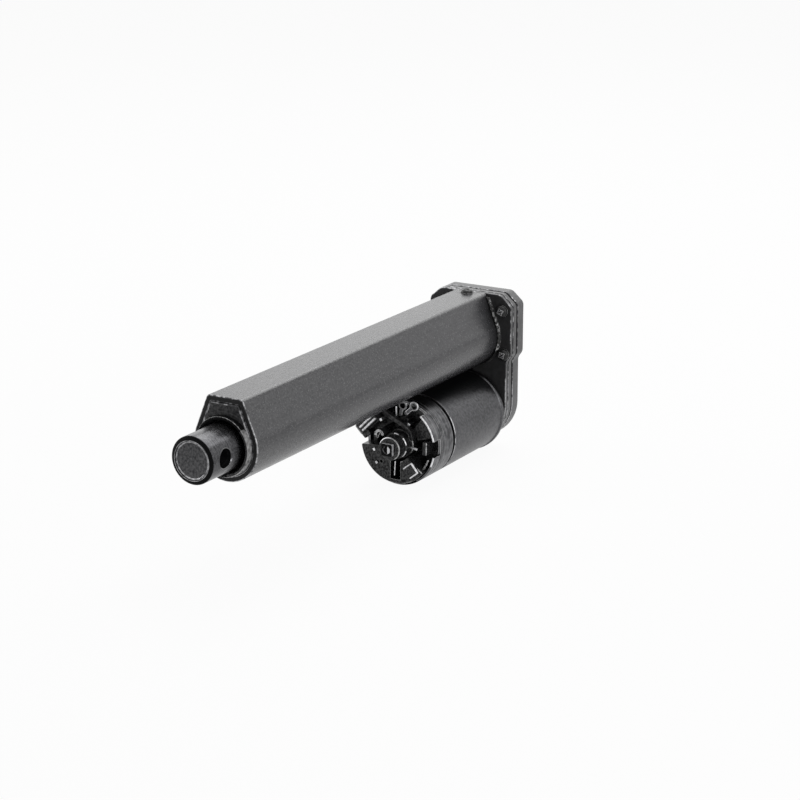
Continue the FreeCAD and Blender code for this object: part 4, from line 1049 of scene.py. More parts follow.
@dataclass
class GearCase(SubAssembly):
    """The gear case: front plate, middle layer, gasket, rear cover with its lug, and the screws."""

    top_half: float = 12.5
    half: float = 17.1
    shoulder_z: float = 11.9
    step_top: float = -7.0
    step_low: float = -9.5
    low_half: float = 15.25
    round_z: float = -26.3
    corner: float = 1.0
    rim: float = 0.3
    cover_bevel: float = 1.0
    seam: float = 0.45
    seam_depth: float = 0.6
    gasket_inset: float = 0.45
    gear_gap: float = 0.7
    motor_hollow_r: float = 8.7
    floor: float = 2.0
    wheel_gap: float = 0.4
    plate_skin: float = 0.5
    lug_half: float = 4.2
    lug_root: float = 9.5
    lug_bevel: float = 0.6
    lug_sink: float = 0.5
    hole_r: float = 3.2
    screw: PanScrew = field(default_factory=lambda: PanScrew(2.3, 1.7, 1.5, 9.2))
    twists: tuple[float, float] = (15, 11)
    front_screws: tuple[tuple[float, float], ...] = ((13.4, 9.9), (-13.4, 9.9), (14.2, -6.5), (-14.2, -6.5))
    rear_screws: tuple[tuple[float, float], ...] = ((9.5, -34.5), (-9.5, -34.5))

    def __post_init__(self) -> None:
        """Reads the case's top, its two outer faces and the lug's reach from the frame."""
        self.front, self.top = low_high("front_plate")[1].x, low_high("front_plate")[1].z
        self.cover_front = low_high("rear_cover")[1].x
        self.cover_back = low_high("idler_wheel")[0].x - self.wheel_gap - self.floor
        self.lug_r = -low_high("rear_cover")[0].x

    def section(self, inset: float = 0.0) -> Section:
        """Gives the case's outline, moved inwards by a distance."""
        low_half = self.low_half - inset
        return Section((Corner(self.top_half - inset / 2, self.top - inset, self.corner),
                        Corner(self.half - inset, self.shoulder_z - inset / 2, self.corner),
                        Corner(self.half - inset, self.step_top, self.corner),
                        Corner(low_half, self.step_low, self.corner), Corner(low_half, self.round_z)),
                       self.round_z)

    def slab(self, x0: float, x1: float, inset: float = 0.0) -> Form:
        """Makes one layer of the case with eased rims."""
        return Form.drawn([self.section(inset)], x0, x1).eased(self.rim, angle=RIM_ANGLE)

    def hollows(self, x0: float, x1: float) -> list[Form]:
        """Makes cutters for the hollows that the gears turn in.

        Args:
            x0: Rear end.
            x1: Front end.

        Returns:
            The cutters.
        """
        cutters = []
        for node, radius in (("output_gear", 0), ("idler_wheel", 0), ("motor_pinion", self.motor_hollow_r)):
            low, high = low_high(node)
            middle = Vector((x0, 0, (low.z + high.z) / 2))
            reach = radius or (high.z - low.z) / 2 + self.gear_gap
            cutters.append(Form.pin(reach, middle, ALONG_X, x1 - x0))
        return cutters

    def hollowed(self, layer: Form, x0: float, x1: float) -> Form:
        """Cuts the gears' hollows right through a layer."""
        return layer.combined(Combine.CUT, self.hollows(x0 - PAST, x1 + PAST))

    def build(self) -> None:
        """Builds and dresses the layers, the lug and the screws."""
        low, high = low_high("front_plate")
        plate = self.slab(low.x + self.seam, high.x)
        sunk = Form.drawn([self.section(self.seam_depth)], low.x, low.x + 2 * self.seam)
        plate.combined(Combine.JOIN, [sunk])
        plate.combined(Combine.CUT, self.hollows(low.x - PAST, high.x - self.plate_skin))
        # The plate's front face is painted shade
        plate.marked(1, lambda middle, way: way.x > FACING and middle.x > high.x - NEAR)
        self.rubbed(plate, high.x, 2)
        self.dress(plate, "plate_layer", "front_plate", FINISHES["case_paint"], SHADED_PLATE_FACE, RUBBED_AND_GLINT_COAT)
        low, high = low_high("gear_case")
        layer = self.hollowed(self.slab(low.x, high.x), low.x, high.x)
        self.rubbed(layer, high.x, 1)
        self.dress(layer, "middle_layer", "gear_case", FINISHES["case_paint"], RUBBED_AND_GLINT_COAT)
        low, high = low_high("case_gasket")
        gasket = self.hollowed(self.slab(low.x, high.x, self.gasket_inset), low.x, high.x)
        self.dress(gasket, "gasket_layer", "case_gasket")
        cover = Form.drawn([self.section()], self.cover_back, self.cover_front)
        cover.eased(self.cover_bevel, segments=1, where=lambda p: p.x < self.cover_back + NEAR,
                    angle=RIM_ANGLE)
        cover.eased(self.rim, where=lambda p: p.x > self.cover_front - NEAR, angle=RIM_ANGLE)
        cover.combined(Combine.JOIN, [self.lug()])
        cover.combined(Combine.CUT, self.hollows(self.cover_back + self.floor, self.cover_front + PAST))
        self.rubbed(cover, self.cover_front, 1)
        self.dress(cover, "cover_with_lug", "rear_cover", FINISHES["case_paint"], RUBBED_AND_GLINT_COAT)
        # The screw heads' flat tops carry painted glints in bright zinc
        self.dress(self.screws(), "case_pan_screws", "case_screws", FINISHES["black_screw"], ZINC_AND_GLINT)

    def rubbed(self, layer: Form, front: float, index: int) -> None:
        """Gives the rim of a layer's front face another finish, by its index."""
        layer.marked(index, lambda middle, way: slants(way) and middle.x > front - self.rim - NEAR)

    def lug(self) -> Form:
        """Makes the mounting lug: a tapered tongue with a round end and a pin hole."""
        half, reach = self.lug_half, self.cover_back + self.lug_sink
        lean = math.asin((self.lug_root - self.lug_r) / math.hypot(reach, self.lug_root))
        bm = bmesh.new()
        root = [bm.verts.new((reach, -half, side * self.lug_root)) for side in (1, -1)]
        touch = bm.verts.new((-self.lug_r * math.sin(lean), -half, self.lug_r * math.cos(lean)))
        bm.edges.new((root[0], touch))
        swept = bmesh.ops.spin(bm, geom=[touch], cent=(0, -half, 0), axis=ALONG_Y,
                               angle=-(math.pi - 2 * lean), steps=SMALL_TURN)
        end = next(g for g in swept["geom_last"] if isinstance(g, bmesh.types.BMVert))
        bm.edges.new((end, root[1]))
        bm.edges.new((root[1], root[0]))
        bmesh.ops.contextual_create(bm, geom=bm.edges[:])
        tongue = Form(bm).pushed(ALONG_Y * 2 * half)
        tongue.eased(self.lug_bevel, segments=3,
                     where=lambda p: abs(p.y) > half - NEAR and p.x < self.cover_back - self.rim)
        drill = Form.pin(self.hole_r, ALONG_Y * -2 * half, ALONG_Y, 4 * half)
        return tongue.combined(Combine.CUT, [drill])

    def screws(self) -> Form:
        """Makes the pan screws on the front plate and on the rear cover."""
        made = [self.screw.form(Vector((x, y, z)), way, twist * y)
                for x, way, twist, places in ((self.front, ALONG_X, self.twists[0], self.front_screws),
                                              (self.cover_back, -ALONG_X, self.twists[1], self.rear_screws))
                for y, z in places]
        return made[0].with_shells(made[1:])


@dataclass
class Motor(SubAssembly):
    """The motor's steel shell: can and band. The brush cap in its mouth is a sub-assembly of its own."""

    wall: float = 1.5
    end: float = 1.2
    rim: float = 0.35
    bead_r: float = 15.5
    bead: float = 1.6
    bead_round: float = 0.4
    bead_slope: float = 0.3
    neck: float = 0.6
    neck_round: float = 0.1
    heel: float = 0.9
    heel_round: float = 0.5
    boss_wall: float = 0.6
    band_wall: float = 0.9
    band_rim: float = 0.25
    seam_half: float = 0.5
    mouth: float = 0.3
    mouth_depth: float = 0.6
    # Angles of the band's rim that carry a painted highlight in bright zinc and painted shade in black
    bright_rim: tuple[float, float] = (-25, 62)
    dark_rim: tuple[float, float] = (100, 300)
    # Angles of the can's lip that carries a painted highlight, where light catches it
    lit_lip: tuple[float, float] = (-80, 42)
    notches: tuple[tuple[float, float], ...] = ((-11, 12), (168, 191), (52, 128))
    notch_floor: float = 68.4
    grooves: tuple[float, ...] = (65.5, 67.6, 70.2)
    groove: float = 0.4
    groove_depth: float = 0.3
    steps: int = 128

    def __post_init__(self) -> None:
        """Reads the motor's axis and its main places from the frame."""
        self.axis_z = MOTOR_AXIS_Z
        low, high = low_high("motor_band")
        self.band_back, self.band_front, self.r = low.x, high.x, high.y
        self.can_front = low_high("motor_can")[1].x
        self.case_front = low_high("front_plate")[1].x

    def build(self) -> None:
        """Builds and dresses the can, the band and the brush cap."""
        drum = self.can()
        # Painted highlight: the can's lip is pale only where light catches it
        lip = Zone(self.lit_lip, (self.r - self.wall, self.r + NEAR),
                   self.can_front - self.seam_half - self.rim)
        drum.marked(1, lambda middle, way: slants(way) and lip.holds(middle))
        self.dress(drum, "motor_drum", "motor_can", FINISHES["motor_steel"], RUBBED_AND_GLINT_COAT)
        # Painted light on the band's rim: bright where light catches it, painted shade in black on the far
        # side
        rim = Zone(self.bright_rim, (self.r - self.band_wall, self.r + NEAR),
                   self.band_front - self.mouth_depth)
        dark = replace(rim, turn=self.dark_rim)
        ring = self.band().marked(1, lambda middle, way: way.x > LEANING and rim.holds(middle))
        ring.marked(2, lambda middle, way: way.x > LEANING and dark.holds(middle))
        self.dress(ring, "motor_ring", "motor_band", BAND_STEEL, ZINC_AND_GLINT, BLACK_AND_SHADE)
        BrushCap(self.axis_z, self.r - self.band_wall, self.r - self.wall).build()

    def can(self) -> Form:
        """Makes the drawn can with its rolled bead and its boss."""
        low = low_high("motor_can")[0]
        bush_r = low_high("can_bush")[1].y
        boss_r, end = bush_r + self.boss_wall, self.case_front + self.end
        bead_front, lip = end + self.bead, self.can_front - self.seam_half
        return Form.turned([Corner(end, bush_r), Corner(low.x, bush_r), Corner(low.x, boss_r),
                            Corner(self.case_front, boss_r),
                            Corner(self.case_front, self.r - self.heel, self.heel_round),
                            Corner(end - self.neck_round, self.r - self.neck, self.neck_round),
                            Corner(end, self.bead_r, self.bead_round),
                            Corner(bead_front, self.bead_r, self.bead_round),
                            Corner(bead_front + self.bead_slope, self.r, self.neck_round),
                            Corner(lip, self.r, self.rim), Corner(lip, self.r - self.wall),
                            Corner(end, self.r - self.wall)], self.axis_z, steps=self.steps)

    def band(self) -> Form:
        """Makes the band with its grooves, its flared mouth and the notches in its rim."""
        inner = self.r - self.band_wall
        back = self.band_back + self.seam_half
        profile = [Corner(back, inner), Corner(back, self.r, self.rim)]
        for x in self.grooves:
            floor = self.r - self.groove_depth
            profile += [Corner(x - self.groove, self.r), Corner(x - self.groove / 2, floor),
                        Corner(x + self.groove / 2, floor), Corner(x + self.groove, self.r)]
        profile += [Corner(self.band_front, self.r, self.band_rim),
                    Corner(self.band_front, inner + self.mouth),
                    Corner(self.band_front - self.mouth_depth, inner)]
        ring = Form.turned(profile, self.axis_z, steps=self.steps)
        ends, radii = (self.notch_floor, self.band_front + PAST), (inner - PAST, self.r + PAST)
        cutters = [Form.ring(ends, radii, self.axis_z, turn) for turn in self.notches]
        return ring.combined(Combine.CUT, cutters)


@dataclass(frozen=True)
class Spoke:
    """A box on the brush cap, square to a line that runs outwards from the motor's axis.

    Attributes:
        angle: Direction of the line in degrees; 0 is +Y and 90 is +Z.
        r0: Where the box starts.
        r1: Where it ends.
        half: Half its width.
        front: Its front face along X.
        back: Its foot, which is sunk into the cap's floor.
        ease: Width of its bevels.
        shift: Distance that it is moved by across the line.
    """

    angle: float
    r0: float
    r1: float
    half: float
    front: float
    back: float = 65.5
    ease: float = 0.25
    shift: float = 0.0

    def box(self) -> Form:
        """Makes the box as it lies along Y."""
        return Form.block((self.back, self.r0, self.shift - self.half),
                          (self.front, self.r1, self.shift + self.half))

    def place(self) -> Matrix:
        """Gives the turn of the box about the motor's axis."""
        return swung(Vector((0, 0, MOTOR_AXIS_Z)), math.radians(self.angle))

    def form(self) -> Form:
        """Makes the box with its bevels, in its place."""
        box = self.box()
        if self.ease:
            box.eased(self.ease)
        return box.placed(self.place())


@dataclass
class BrushCap(SubAssembly):
    """The moulded brush cap with its terminals, and the shaft end and clip in its middle.

    Forms on the cap are placed by radius and angle about the motor's axis.
    """

    axis_z: float
    r: float
    spigot_r: float
    spigot_wall: float = 1.0
    spigot_back: float = 55.0
    seat: float = 58.5
    back: float = 63.0
    floor: float = 66.0
    sink: float = 0.5
    bore: float = 3.2
    bore_back: float = 1.5
    running_gap: float = 0.4
    skin: float = 0.05
    ease: float = 0.3
    tower: tuple[tuple[float, float], ...] = ((5.6, 71.5), (4.9, 75.0), (4.3, 79.0))
    tower_edge: float = 0.55
    tower_sink: float = 1.0
    lip_r: float = 1.8
    lip_round: float = 0.1
    low_pad: tuple[float, float] = (186, 322)
    low_pad_r: float = 6.0
    pad_front: float = 74.6
    right_pad: tuple[float, float] = (15, 50)
    right_pad_r: float = 6.8
    right_pad_front: float = 70.2
    hood: tuple[float, float] = (132, 166)
    hood_r: tuple[float, float] = (7.1, 8.2)
    hood_front: float = 75.0
    low_wall: tuple[float, float] = (298, 341)
    low_wall_r: tuple[float, float] = (12.4, 13.1)
    low_wall_front: float = 72.2
    slot: Spoke = Spoke(-90, 5.3, 12.6, 2.05, 80.0, 67.2, 0.0)
    slot_side: tuple[float, float] = (-125, -65)
    slot_land: float = 1.0
    pocket: Spoke = Spoke(-130.6, 8.4, 9.5, 0.6, 80.0, 72.0, 0.0)
    blade: Spoke = Spoke(-93.6, 6.0, 11.4, 0.22, 74.0, ease=0.08)
    square: Spoke = Spoke(-51, 8.2, 12.9, 2.35, 75.7, 73.7, 0.5, 0.15)
    block: Spoke = Spoke(135, 11.2, 15.1, 5.2, 76.2, 72.7, 0.0, 3.3)
    block_root: Spoke = Spoke(135, 11.0, 15.1, 5.2, 73.1, ease=0.0, shift=3.3)
    block_foot: Spoke = Spoke(135, 9.4, 14.6, 1.65, 74.6, 72.9, 0.3, 6.8)
    block_bevel: float = 1.5
    ridges: tuple[Spoke, ...] = (Spoke(135, 11.5, 12.2, 3.8, 76.7, 75.9, 0.2, 2.1),
                                 Spoke(135, 13.0, 13.7, 3.8, 76.7, 75.9, 0.2, 2.3))
    tabs: tuple[Spoke, ...] = (Spoke(-1, 9.8, 11.5, 2.4, 72.4), Spoke(181, 9.8, 11.5, 2.4, 70.4))
    ribs: tuple[Spoke, ...] = (Spoke(32, 5.0, 9.0, 0.8, 69.0), Spoke(82, 5.0, 9.0, 0.8, 69.0))
    arm: tuple[tuple[float, float], ...] = ((-7.4, 11.3), (1.8, 7.2), (4.5, 4.9), (5.1, 2.6))
    arm_half: float = 0.75
    arm_ends: tuple[float, float] = (70.0, 72.4)
    arm_step: float = 0.02
    arm_ease: float = 0.2
    rivets: tuple[Spoke, ...] = (Spoke(-163, 8.45, 9.55, 0.55, 75.1), Spoke(-136, 9.95, 10.95, 0.5, 75.3),
                                 Spoke(65.5, 7.5, 8.6, 0.55, 71.0), Spoke(119.6, 10.1, 11.1, 0.5, 76.0),
                                 Spoke(-8, 4.8, 7.6, 0.4, 71.9, ease=0.12),
                                 Spoke(90, 8.3, 13.2, 0.3, 70.4, ease=0.1, shift=2.1))
    # Zones of painted highlights on the cap's front bevels: pale glints, and bright glints where the bevel
    # also faces the light
    pale_glint_zones: tuple[Zone, ...] = (
        Zone((-60, 80), (3.6, 4.4), 78.3), Zone((-30, 60), (4.9, 5.7), 70.8),
        Zone((100, 180), (6.9, 8.3), 74.5), Zone((298, 341), (12.2, 13.2), 71.7),
        Zone((-14, 12), (11.0, 12.2), 71.9), Zone((-118, -62), (5.9, 14.0), 74.2))
    bright_glint_zones: tuple[Zone, ...] = (
        Zone((80, 215), (3.6, 4.4), 78.3), Zone((70, 95), (4.2, 5.0), 74.3), Zone((12, 45), (4.2, 5.0), 74.3),
        Zone((-48, -15), (4.2, 5.0), 74.3), Zone((-76, -28), (7.6, 13.8), 75.1))
    # Least lean of a bevel towards +Y and +Z, the side where light falls, for it to take a bright painted
    # glint
    glint_facing: float = -0.3
    glint_ridges: Zone = Zone((90, 180), (11.0, 16.0), 76.3)
    terminals: tuple[tuple[tuple[float, float], tuple[float, float]], ...] = (
        ((1.8, 11.2), (4.9, 14.1)), ((-0.6, 10.4), (0.3, 13.8)))
    eye_r: float = 1.75
    eye_hole_r: float = 1.15
    eye_ease: float = 0.3
    stem_half: float = 0.75
    stem_ease: float = 0.25
    post_sink: float = 0.1
    hook: tuple[float, float] = (-5.3, 4.0)
    hook_r: tuple[float, float] = (0.95, 1.85)
    hook_turn: tuple[float, float] = (-5, 195)
    hook_ends: tuple[float, float] = (72.0, 77.0)
    strip: float = 0.6
    shaft_round: float = 0.3
    flat: float = 1.25
    flat_length: float = 2.4
    tang: float = 0.25
    tang_rise: float = 0.6
    clip_half: float = 2.2
    clip_round: float = 0.5
    clip_rise: float = 1.0
    clip_edge: float = 0.12

    def sector(self, radii: tuple[float, float], turn: tuple[float, float], front: float) -> Form:
        """Makes a piece of a round wall with eased edges that stands on the cap's floor."""
        return Form.ring((self.floor - self.sink, front), radii, self.axis_z, turn).eased(self.ease)

    def build(self) -> None:
        """Builds and dresses the cap, its terminals, the shaft and the clip."""
        self.dress(self.cap(), "cap_moulding", "brush_cap", FINISHES["cap_plastic"], GLINT_EDGE, ZINC_AND_GLINT)
        self.dress(self.contacts(), "eyelet_terminals", "motor_terminals", FINISHES["tinned_brass"],
                   ZINC_AND_GLINT, DARK_AND_SHADED_TIN)
        self.dress(self.shaft(), "shaft_pin", "motor_shaft", FINISHES["bright_steel"], BLACK_AND_SHADE)
        self.dress(self.clip(), "push_clip", "star_washer", BLACK_AND_SHADE, ZINC_AND_GLINT)

    def cap(self) -> Form:
        """Makes the moulding: floor, tower, pads, hood, block, arm, tabs and slot."""
        inner, rear = self.spigot_r - self.spigot_wall, self.floor - self.bore_back
        throat = low_high("commutator")[1].y + self.running_gap
        cap = Form.turned([Corner(self.spigot_back, inner), Corner(self.spigot_back, self.spigot_r),
                           Corner(self.seat, self.spigot_r), Corner(self.seat, self.r),
                           Corner(self.floor, self.r), Corner(self.floor, self.bore), Corner(rear, self.bore),
                           Corner(rear, throat), Corner(self.back, throat), Corner(self.back, inner)],
                          self.axis_z)
        outer = self.r - self.skin
        parts = [self.tower_form(), self.low_pad_form(outer),
                 self.sector((self.right_pad_r, outer), self.right_pad, self.right_pad_front),
                 self.sector(self.hood_r, self.hood, self.hood_front),
                 self.sector(self.low_wall_r, self.low_wall, self.low_wall_front)]
        parts += self.block_forms(outer) + self.arm_forms()
        parts += [spoke.form() for spoke in self.tabs + self.ribs]
        cap.combined(Combine.JOIN, parts)

        def on_edge(zones: Iterable[Zone], middle: Vector, way: Vector) -> bool:
            """Tells whether a face is the bevel of a front edge in one of some zones."""
            return slants(way) and any(zone.holds(middle) for zone in zones)

        # Painted highlights: pale on the front bevels in some zones, bright on those in others that face the
        # light, and bright on the block's ridges
        cap.marked(1, lambda middle, way: on_edge(self.pale_glint_zones, middle, way))
        return cap.marked(2, lambda middle, way: self.glint_ridges.holds(middle)
                          or way.y + way.z > self.glint_facing and on_edge(self.bright_glint_zones, middle, way))

    def tower_form(self) -> Form:
        """Makes the stepped bearing tower."""
        foot = self.floor - self.tower_sink
        profile = [Corner(foot, self.bore + self.skin)]
        for radius, front in self.tower:
            profile += [Corner(foot, radius), Corner(front, radius, self.tower_edge)]
            foot = front
        bush_front = low_high("cap_bush")[1].x + NEAR
        profile += [Corner(foot, self.lip_r, self.lip_round), Corner(bush_front, self.lip_r),
                    Corner(bush_front, self.bore + self.skin)]
        return Form.turned(profile, self.axis_z)

    def low_pad_form(self, outer: float) -> Form:
        """Makes the low pad with its slot and the square boss on it."""
        pad = self.sector((self.low_pad_r, outer), self.low_pad, self.pad_front)
        pad.combined(Combine.CUT, [self.slot.form(), self.pocket.form()])
        beside = Zone(self.slot_side, (self.low_pad_r, outer - self.slot_land), self.pad_front - NEAR)
        pad.eased(self.ease, where=beside.holds)
        return pad.combined(Combine.JOIN, [self.square.form()])

    def block_forms(self, outer: float) -> list[Form]:
        """Makes the raised block at the upper left with a cut corner and two ridges on its face."""
        front, high = self.block.front, self.block.shift + self.block.half
        head = self.block.box()
        head.eased(self.block_bevel, segments=1, where=lambda p: p.x > front - NEAR and p.z > high - NEAR)
        head.eased(self.ease).placed(self.block.place())
        inside = Form.ring((self.floor - 2 * PAST, front), (0, outer), self.axis_z)
        root = self.block_root.form().combined(Combine.KEEP, [inside])
        return [root, head] + [spoke.form() for spoke in (self.block_foot,) + self.ridges]

    def arm_forms(self) -> list[Form]:
        """Makes the bent arm across the cap's face: bars and round joints, each thicker than the last."""
        made, (back, front) = [], self.arm_ends
        places = [Vector((back, y, self.axis_z + z)) for y, z in self.arm]
        deep, joint_r = front - back, self.arm_half + self.arm_step
        for start, end in zip(places, places[1:]):
            more = self.arm_step * len(made)
            run = Form.bar(start, end, self.arm_half, (-more, deep + more), self.arm_ease)
            more += self.arm_step
            joint = Form.pin(joint_r, end - ALONG_X * more, ALONG_X, deep + 2 * more, SMALL_PIN)
            made += [run, joint.eased(self.arm_ease)]
        return made

    def terminal(self, root: tuple[float, float], eye: tuple[float, float]) -> Form:
        """Makes a leaning terminal with its eyelet and the post that carries it.

        Args:
            root: Its foot, across and up from the motor's axis.
            eye: Its eyelet, in the same way.

        Returns:
            The terminal.
        """
        low, high = low_high("motor_terminals")
        thin = self.strip
        foot, centre = (Vector((high.x - thin, y, self.axis_z + z)) for y, z in (root, eye))
        ring = Form.pin(self.eye_r, centre, ALONG_X, thin, SMALL_TURN).eased(self.eye_ease)
        stem = Form.bar(foot, centre, self.stem_half, (0, thin), self.stem_ease)
        post = Form.pin(self.stem_half, Vector((low.x, foot.y, foot.z)), ALONG_X,
                        high.x - low.x - self.post_sink, SMALL_PIN)
        drill = Form.pin(self.eye_hole_r, centre - ALONG_X * PAST, ALONG_X, thin + 2 * PAST, SMALL_PIN)
        return ring.combined(Combine.JOIN, [stem, post]).combined(Combine.CUT, [drill])

    def contacts(self) -> Form:
        """Makes the metal on the cap: two leaning terminals with eyelets, blade, hook and rivets."""
        shells = [self.terminal(root, eye) for root, eye in self.terminals]
        # Painted light: the left terminal is dark as painted shade, lying in the tube's shadow; the bevels of
        # the terminals, hook and rivets are painted glints in bright zinc
        shells[0].marked(2, lambda middle, way: way.x > FACING).marked(1, lambda middle, way: slants(way))
        shells[1].marked(2, lambda middle, way: not slants(way))
        shells.append(self.hook_form())
        for spoke in (self.blade,) + self.rivets:
            rivet = spoke.form().marked(2, lambda middle, way: True)
            shells.append(rivet.marked(1, lambda middle, way: way.x > LEANING))
        return shells[0].with_shells(shells[1:])

    def hook_form(self) -> Form:
        """Makes the bent strip beside the tower, bright along its edges."""
        y, z = self.hook
        hook = Form.ring(self.hook_ends, self.hook_r, self.axis_z + z, self.hook_turn).eased(self.ease)
        hook.placed(Matrix.Translation((0, y, 0))).marked(2, lambda middle, way: way.x < FACING)
        return hook.marked(1, lambda middle, way: slants(way))

    def shaft(self) -> Form:
        """Makes the shaft, with a flat and a tang on its end."""
        low, high = low_high("motor_shaft")
        shaft = Form.turned([Corner(low.x, 0), Corner(low.x, high.y),
                             Corner(high.x, high.y, self.shaft_round), Corner(high.x, 0)],
                            self.axis_z, steps=SMALL_PIN)
        reach, ahead, sunk = high.y + PAST, high.x + PAST, high.x - self.tang_rise
        under, over = self.axis_z - reach, self.axis_z + reach
        cut = Form.block((high.x - self.flat_length, self.flat, under), (ahead, reach, over))
        step = Form.block((sunk, -reach, under), (ahead, self.tang, over))
        shaft.combined(Combine.CUT, [cut, step])
        return shaft.marked(1, lambda middle, way: way.x > FACING and middle.x < sunk + NEAR)

    def clip(self) -> Form:
        """Makes the square push-on clip that holds the shaft; its sheared edges are bare."""
        low, high = low_high("star_washer")
        front, half = high.x + self.clip_rise, self.clip_half
        clip = Form.block((low.x, -half, -half), (front, half, half))
        clip.eased(self.clip_round, segments=3, where=lambda p: min(abs(p.y), abs(p.z)) > half - NEAR)
        clip.eased(self.clip_edge, segments=1, where=lambda p: p.x > front - NEAR)
        drill = Form.pin(low_high("motor_shaft")[1].y, ALONG_X * (low.x - PAST), ALONG_X,
                         front - low.x + 2 * PAST, SMALL_PIN)
        clip.combined(Combine.CUT, [drill]).placed(Matrix.Translation((0, 0, self.axis_z)))
        return clip.marked(1, lambda middle, way: abs(way.x) < STEEP)


class Internals(SubAssembly):
    """The hidden mechanism, which keeps its shapes from the frame and gets finishes."""

    def build(self) -> None:
        """Gives every node of the frame the finish of its slot."""
        for name, node in frame["nodes"].items():
            node.data.materials.clear()
            node.data.materials.append(FINISHES[slot_of(name)].material())
        LOG.info("%d nodes have finishes", len(frame["nodes"]))


# Studio


@dataclass(frozen=True)
class SoftBox:
    """A square soft lamp.

    Attributes:
        name: Its name.
        place: Where it stands, in metres.
        size: Length of its sides in metres.
        power: Its power in watts.
    """

    name: str
    place: tuple[float, float, float]
    size: float
    power: float


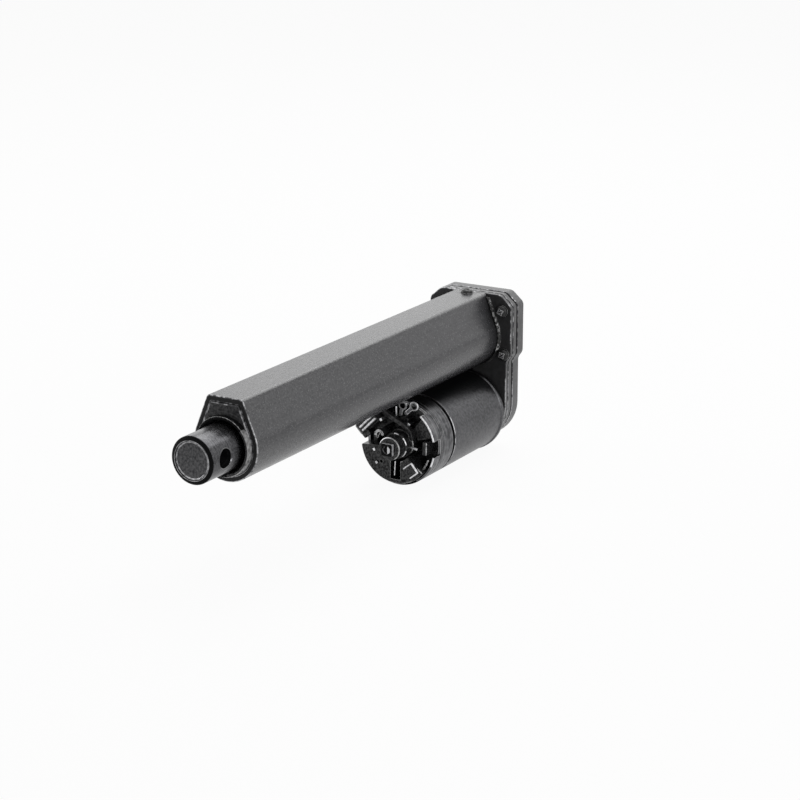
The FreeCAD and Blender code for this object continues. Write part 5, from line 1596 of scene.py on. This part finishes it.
@dataclass
class Studio:
    """The camera, the soft lamps, the pale floor and the white surround.

    Attributes:
        eye: Place of the camera in metres.
        azimuth: Direction of the view in degrees.
        elevation: Height of the view in degrees.
        lens: Focal length in millimetres.
        sensor: Width of the sensor in millimetres.
        clip_start: Distance in metres from which the camera sees.
        target: Point that the lamps face, in metres.
        ambient: Light of the surround on dull surfaces.
        show_through: Share of plain white in the floor as the camera sees it.
        mirrored: Share of plain white in the floor as mirror rays see it close to the part.
        sheet_edge: Distances from the middle, in metres, between which that white ends on each side.
        floor_half: Half the floor's width in metres.
        floor_gap: Air between the floor and the part in metres.
        floor_tone: Colour of the floor.
        boxes: The lamps.
    """

    eye: tuple[float, float, float] = (0.7476, 0.3988, 0.2219)
    azimuth: float = 120.526
    elevation: float = 16.653
    lens: float = 103.78
    sensor: float = 36.0
    clip_start: float = 0.01
    target: tuple[float, float, float] = (0.095, 0.0, -0.01)
    ambient: float = 0.14
    show_through: float = 0.94
    mirrored: float = 0.8
    sheet_edge: tuple[float, float] = (0.085, 0.105)
    floor_half: float = 6.0
    floor_gap: float = 0.0005
    floor_tone: str = "#F4F4F4"
    boxes: tuple[SoftBox, ...] = (
        SoftBox("overhead_box", (-0.35, 0.0, 0.8), 1.0, 7.0),
        SoftBox("rear_box", (-1.52, -0.96, 0.67), 1.75, 4.0),
        SoftBox("right_box", (0.0, 0.9, 0.3), 0.7, 1.45),
        SoftBox("left_strip", (0.35, -0.95, 0.25), 0.3, 2.4),
        SoftBox("front_glint", (0.55, 0.75, 0.2), 0.18, 1.05),
    )

    def build(self) -> None:
        """Builds the studio."""
        self.camera()
        self.surround()
        self.floor()
        for box in self.boxes:
            self.lamp(box)
        bpy.context.scene.view_settings.view_transform = "Standard"

    def camera(self) -> None:
        """Sets the camera at the photograph's view."""
        data = bpy.data.cameras.new("view")
        data.lens, data.sensor_width, data.clip_start = self.lens, self.sensor, self.clip_start
        camera = added("view", data)
        camera.location = self.eye
        camera.rotation_euler = (math.radians(90 - self.elevation), 0, math.radians(self.azimuth))
        bpy.context.scene.camera = camera

    def lamp(self, box: SoftBox) -> None:
        """Adds a soft lamp that faces the part."""
        data = bpy.data.lights.new(box.name, "AREA")
        data.size, data.energy = box.size, box.power
        lamp = added(box.name, data)
        lamp.location = box.place
        lamp.rotation_euler = (Vector(self.target) - Vector(box.place)).to_track_quat("-Z", "Y").to_euler()

    def seen_directly(self, tree: Tree, mirrored: Socket | float = 1.0) -> Socket:
        """Adds a value that is one for rays that show the background itself.

        Args:
            tree: Tree to add to.
            mirrored: Share of it that mirror rays get.

        Returns:
            One for camera and see-through rays, that share for mirror rays and none for dull light.
        """
        path = add_node(tree, "ShaderNodeLightPath", {}).outputs
        glossy = reckoned(tree, "MULTIPLY", path["Is Glossy Ray"], mirrored)
        either = reckoned(tree, "MAXIMUM", path["Is Camera Ray"], glossy)
        return reckoned(tree, "MAXIMUM", either, path["Is Transmission Ray"])

    def surround(self) -> None:
        """Makes the surround white where it is seen and dimmer as a light."""
        world = bpy.data.worlds.new("white_surround")
        tree = cleared(world)
        strength = ramp(tree, self.seen_directly(tree), (0.0, 1.0), (self.ambient, 1.0))
        light = add_node(tree, "ShaderNodeBackground", {"Color": WHITE, "Strength": strength}).outputs[0]
        add_node(tree, "ShaderNodeOutputWorld", {"Surface": light})
        bpy.context.scene.world = world

    def floor(self) -> None:
        """Lays the pale floor under the motor."""
        bm = bmesh.new()
        height = min(low_high(node)[0].z for node in ("motor_can", "rear_cover")) * MM - self.floor_gap
        bmesh.ops.create_grid(bm, x_segments=1, y_segments=1, size=self.floor_half,
                              matrix=Matrix.Translation((0, 0, height)))
        mesh = bpy.data.meshes.new("pale_floor")
        bm.to_mesh(mesh)
        bm.free()
        mesh.materials.append(self.floor_paint())
        floor = added("pale_floor", mesh)

    def floor_paint(self) -> bpy.types.Material:
        """Makes the floor's paint: dull and pale, and plain white where it is seen close to the part."""
        paint = bpy.data.materials.new("pale_floor_paint")
        tree = cleared(paint)
        dull = add_node(tree, "ShaderNodeBsdfDiffuse", {"Color": linear(self.floor_tone)}).outputs[0]
        white = add_node(tree, "ShaderNodeEmission", {"Color": WHITE, "Strength": 1.0}).outputs[0]
        place = add_node(tree, "ShaderNodeNewGeometry", {}).outputs["Position"]
        across = add_node(tree, "ShaderNodeSeparateXYZ", {"Vector": place}).outputs["Y"]
        on_sheet = ramp(tree, reckoned(tree, "ABSOLUTE", across), self.sheet_edge, (self.mirrored, 0.0))
        share = reckoned(tree, "MULTIPLY", self.seen_directly(tree, on_sheet), self.show_through)
        both = add_node(tree, "ShaderNodeMixShader", {0: share, 1: dull, 2: white}).outputs[0]
        add_node(tree, "ShaderNodeOutputMaterial", {"Surface": both})
        return paint


def main() -> None:
    """Builds the studio and the sub-assemblies in order."""
    logging.basicConfig(level=logging.INFO, format="%(name)s: %(message)s")
    Studio().build()
    Internals().build()
    for assembly in (CoverTube(), Rod(), GearCase(), Motor()):
        assembly.build()


if __name__ == "__main__":
    main()
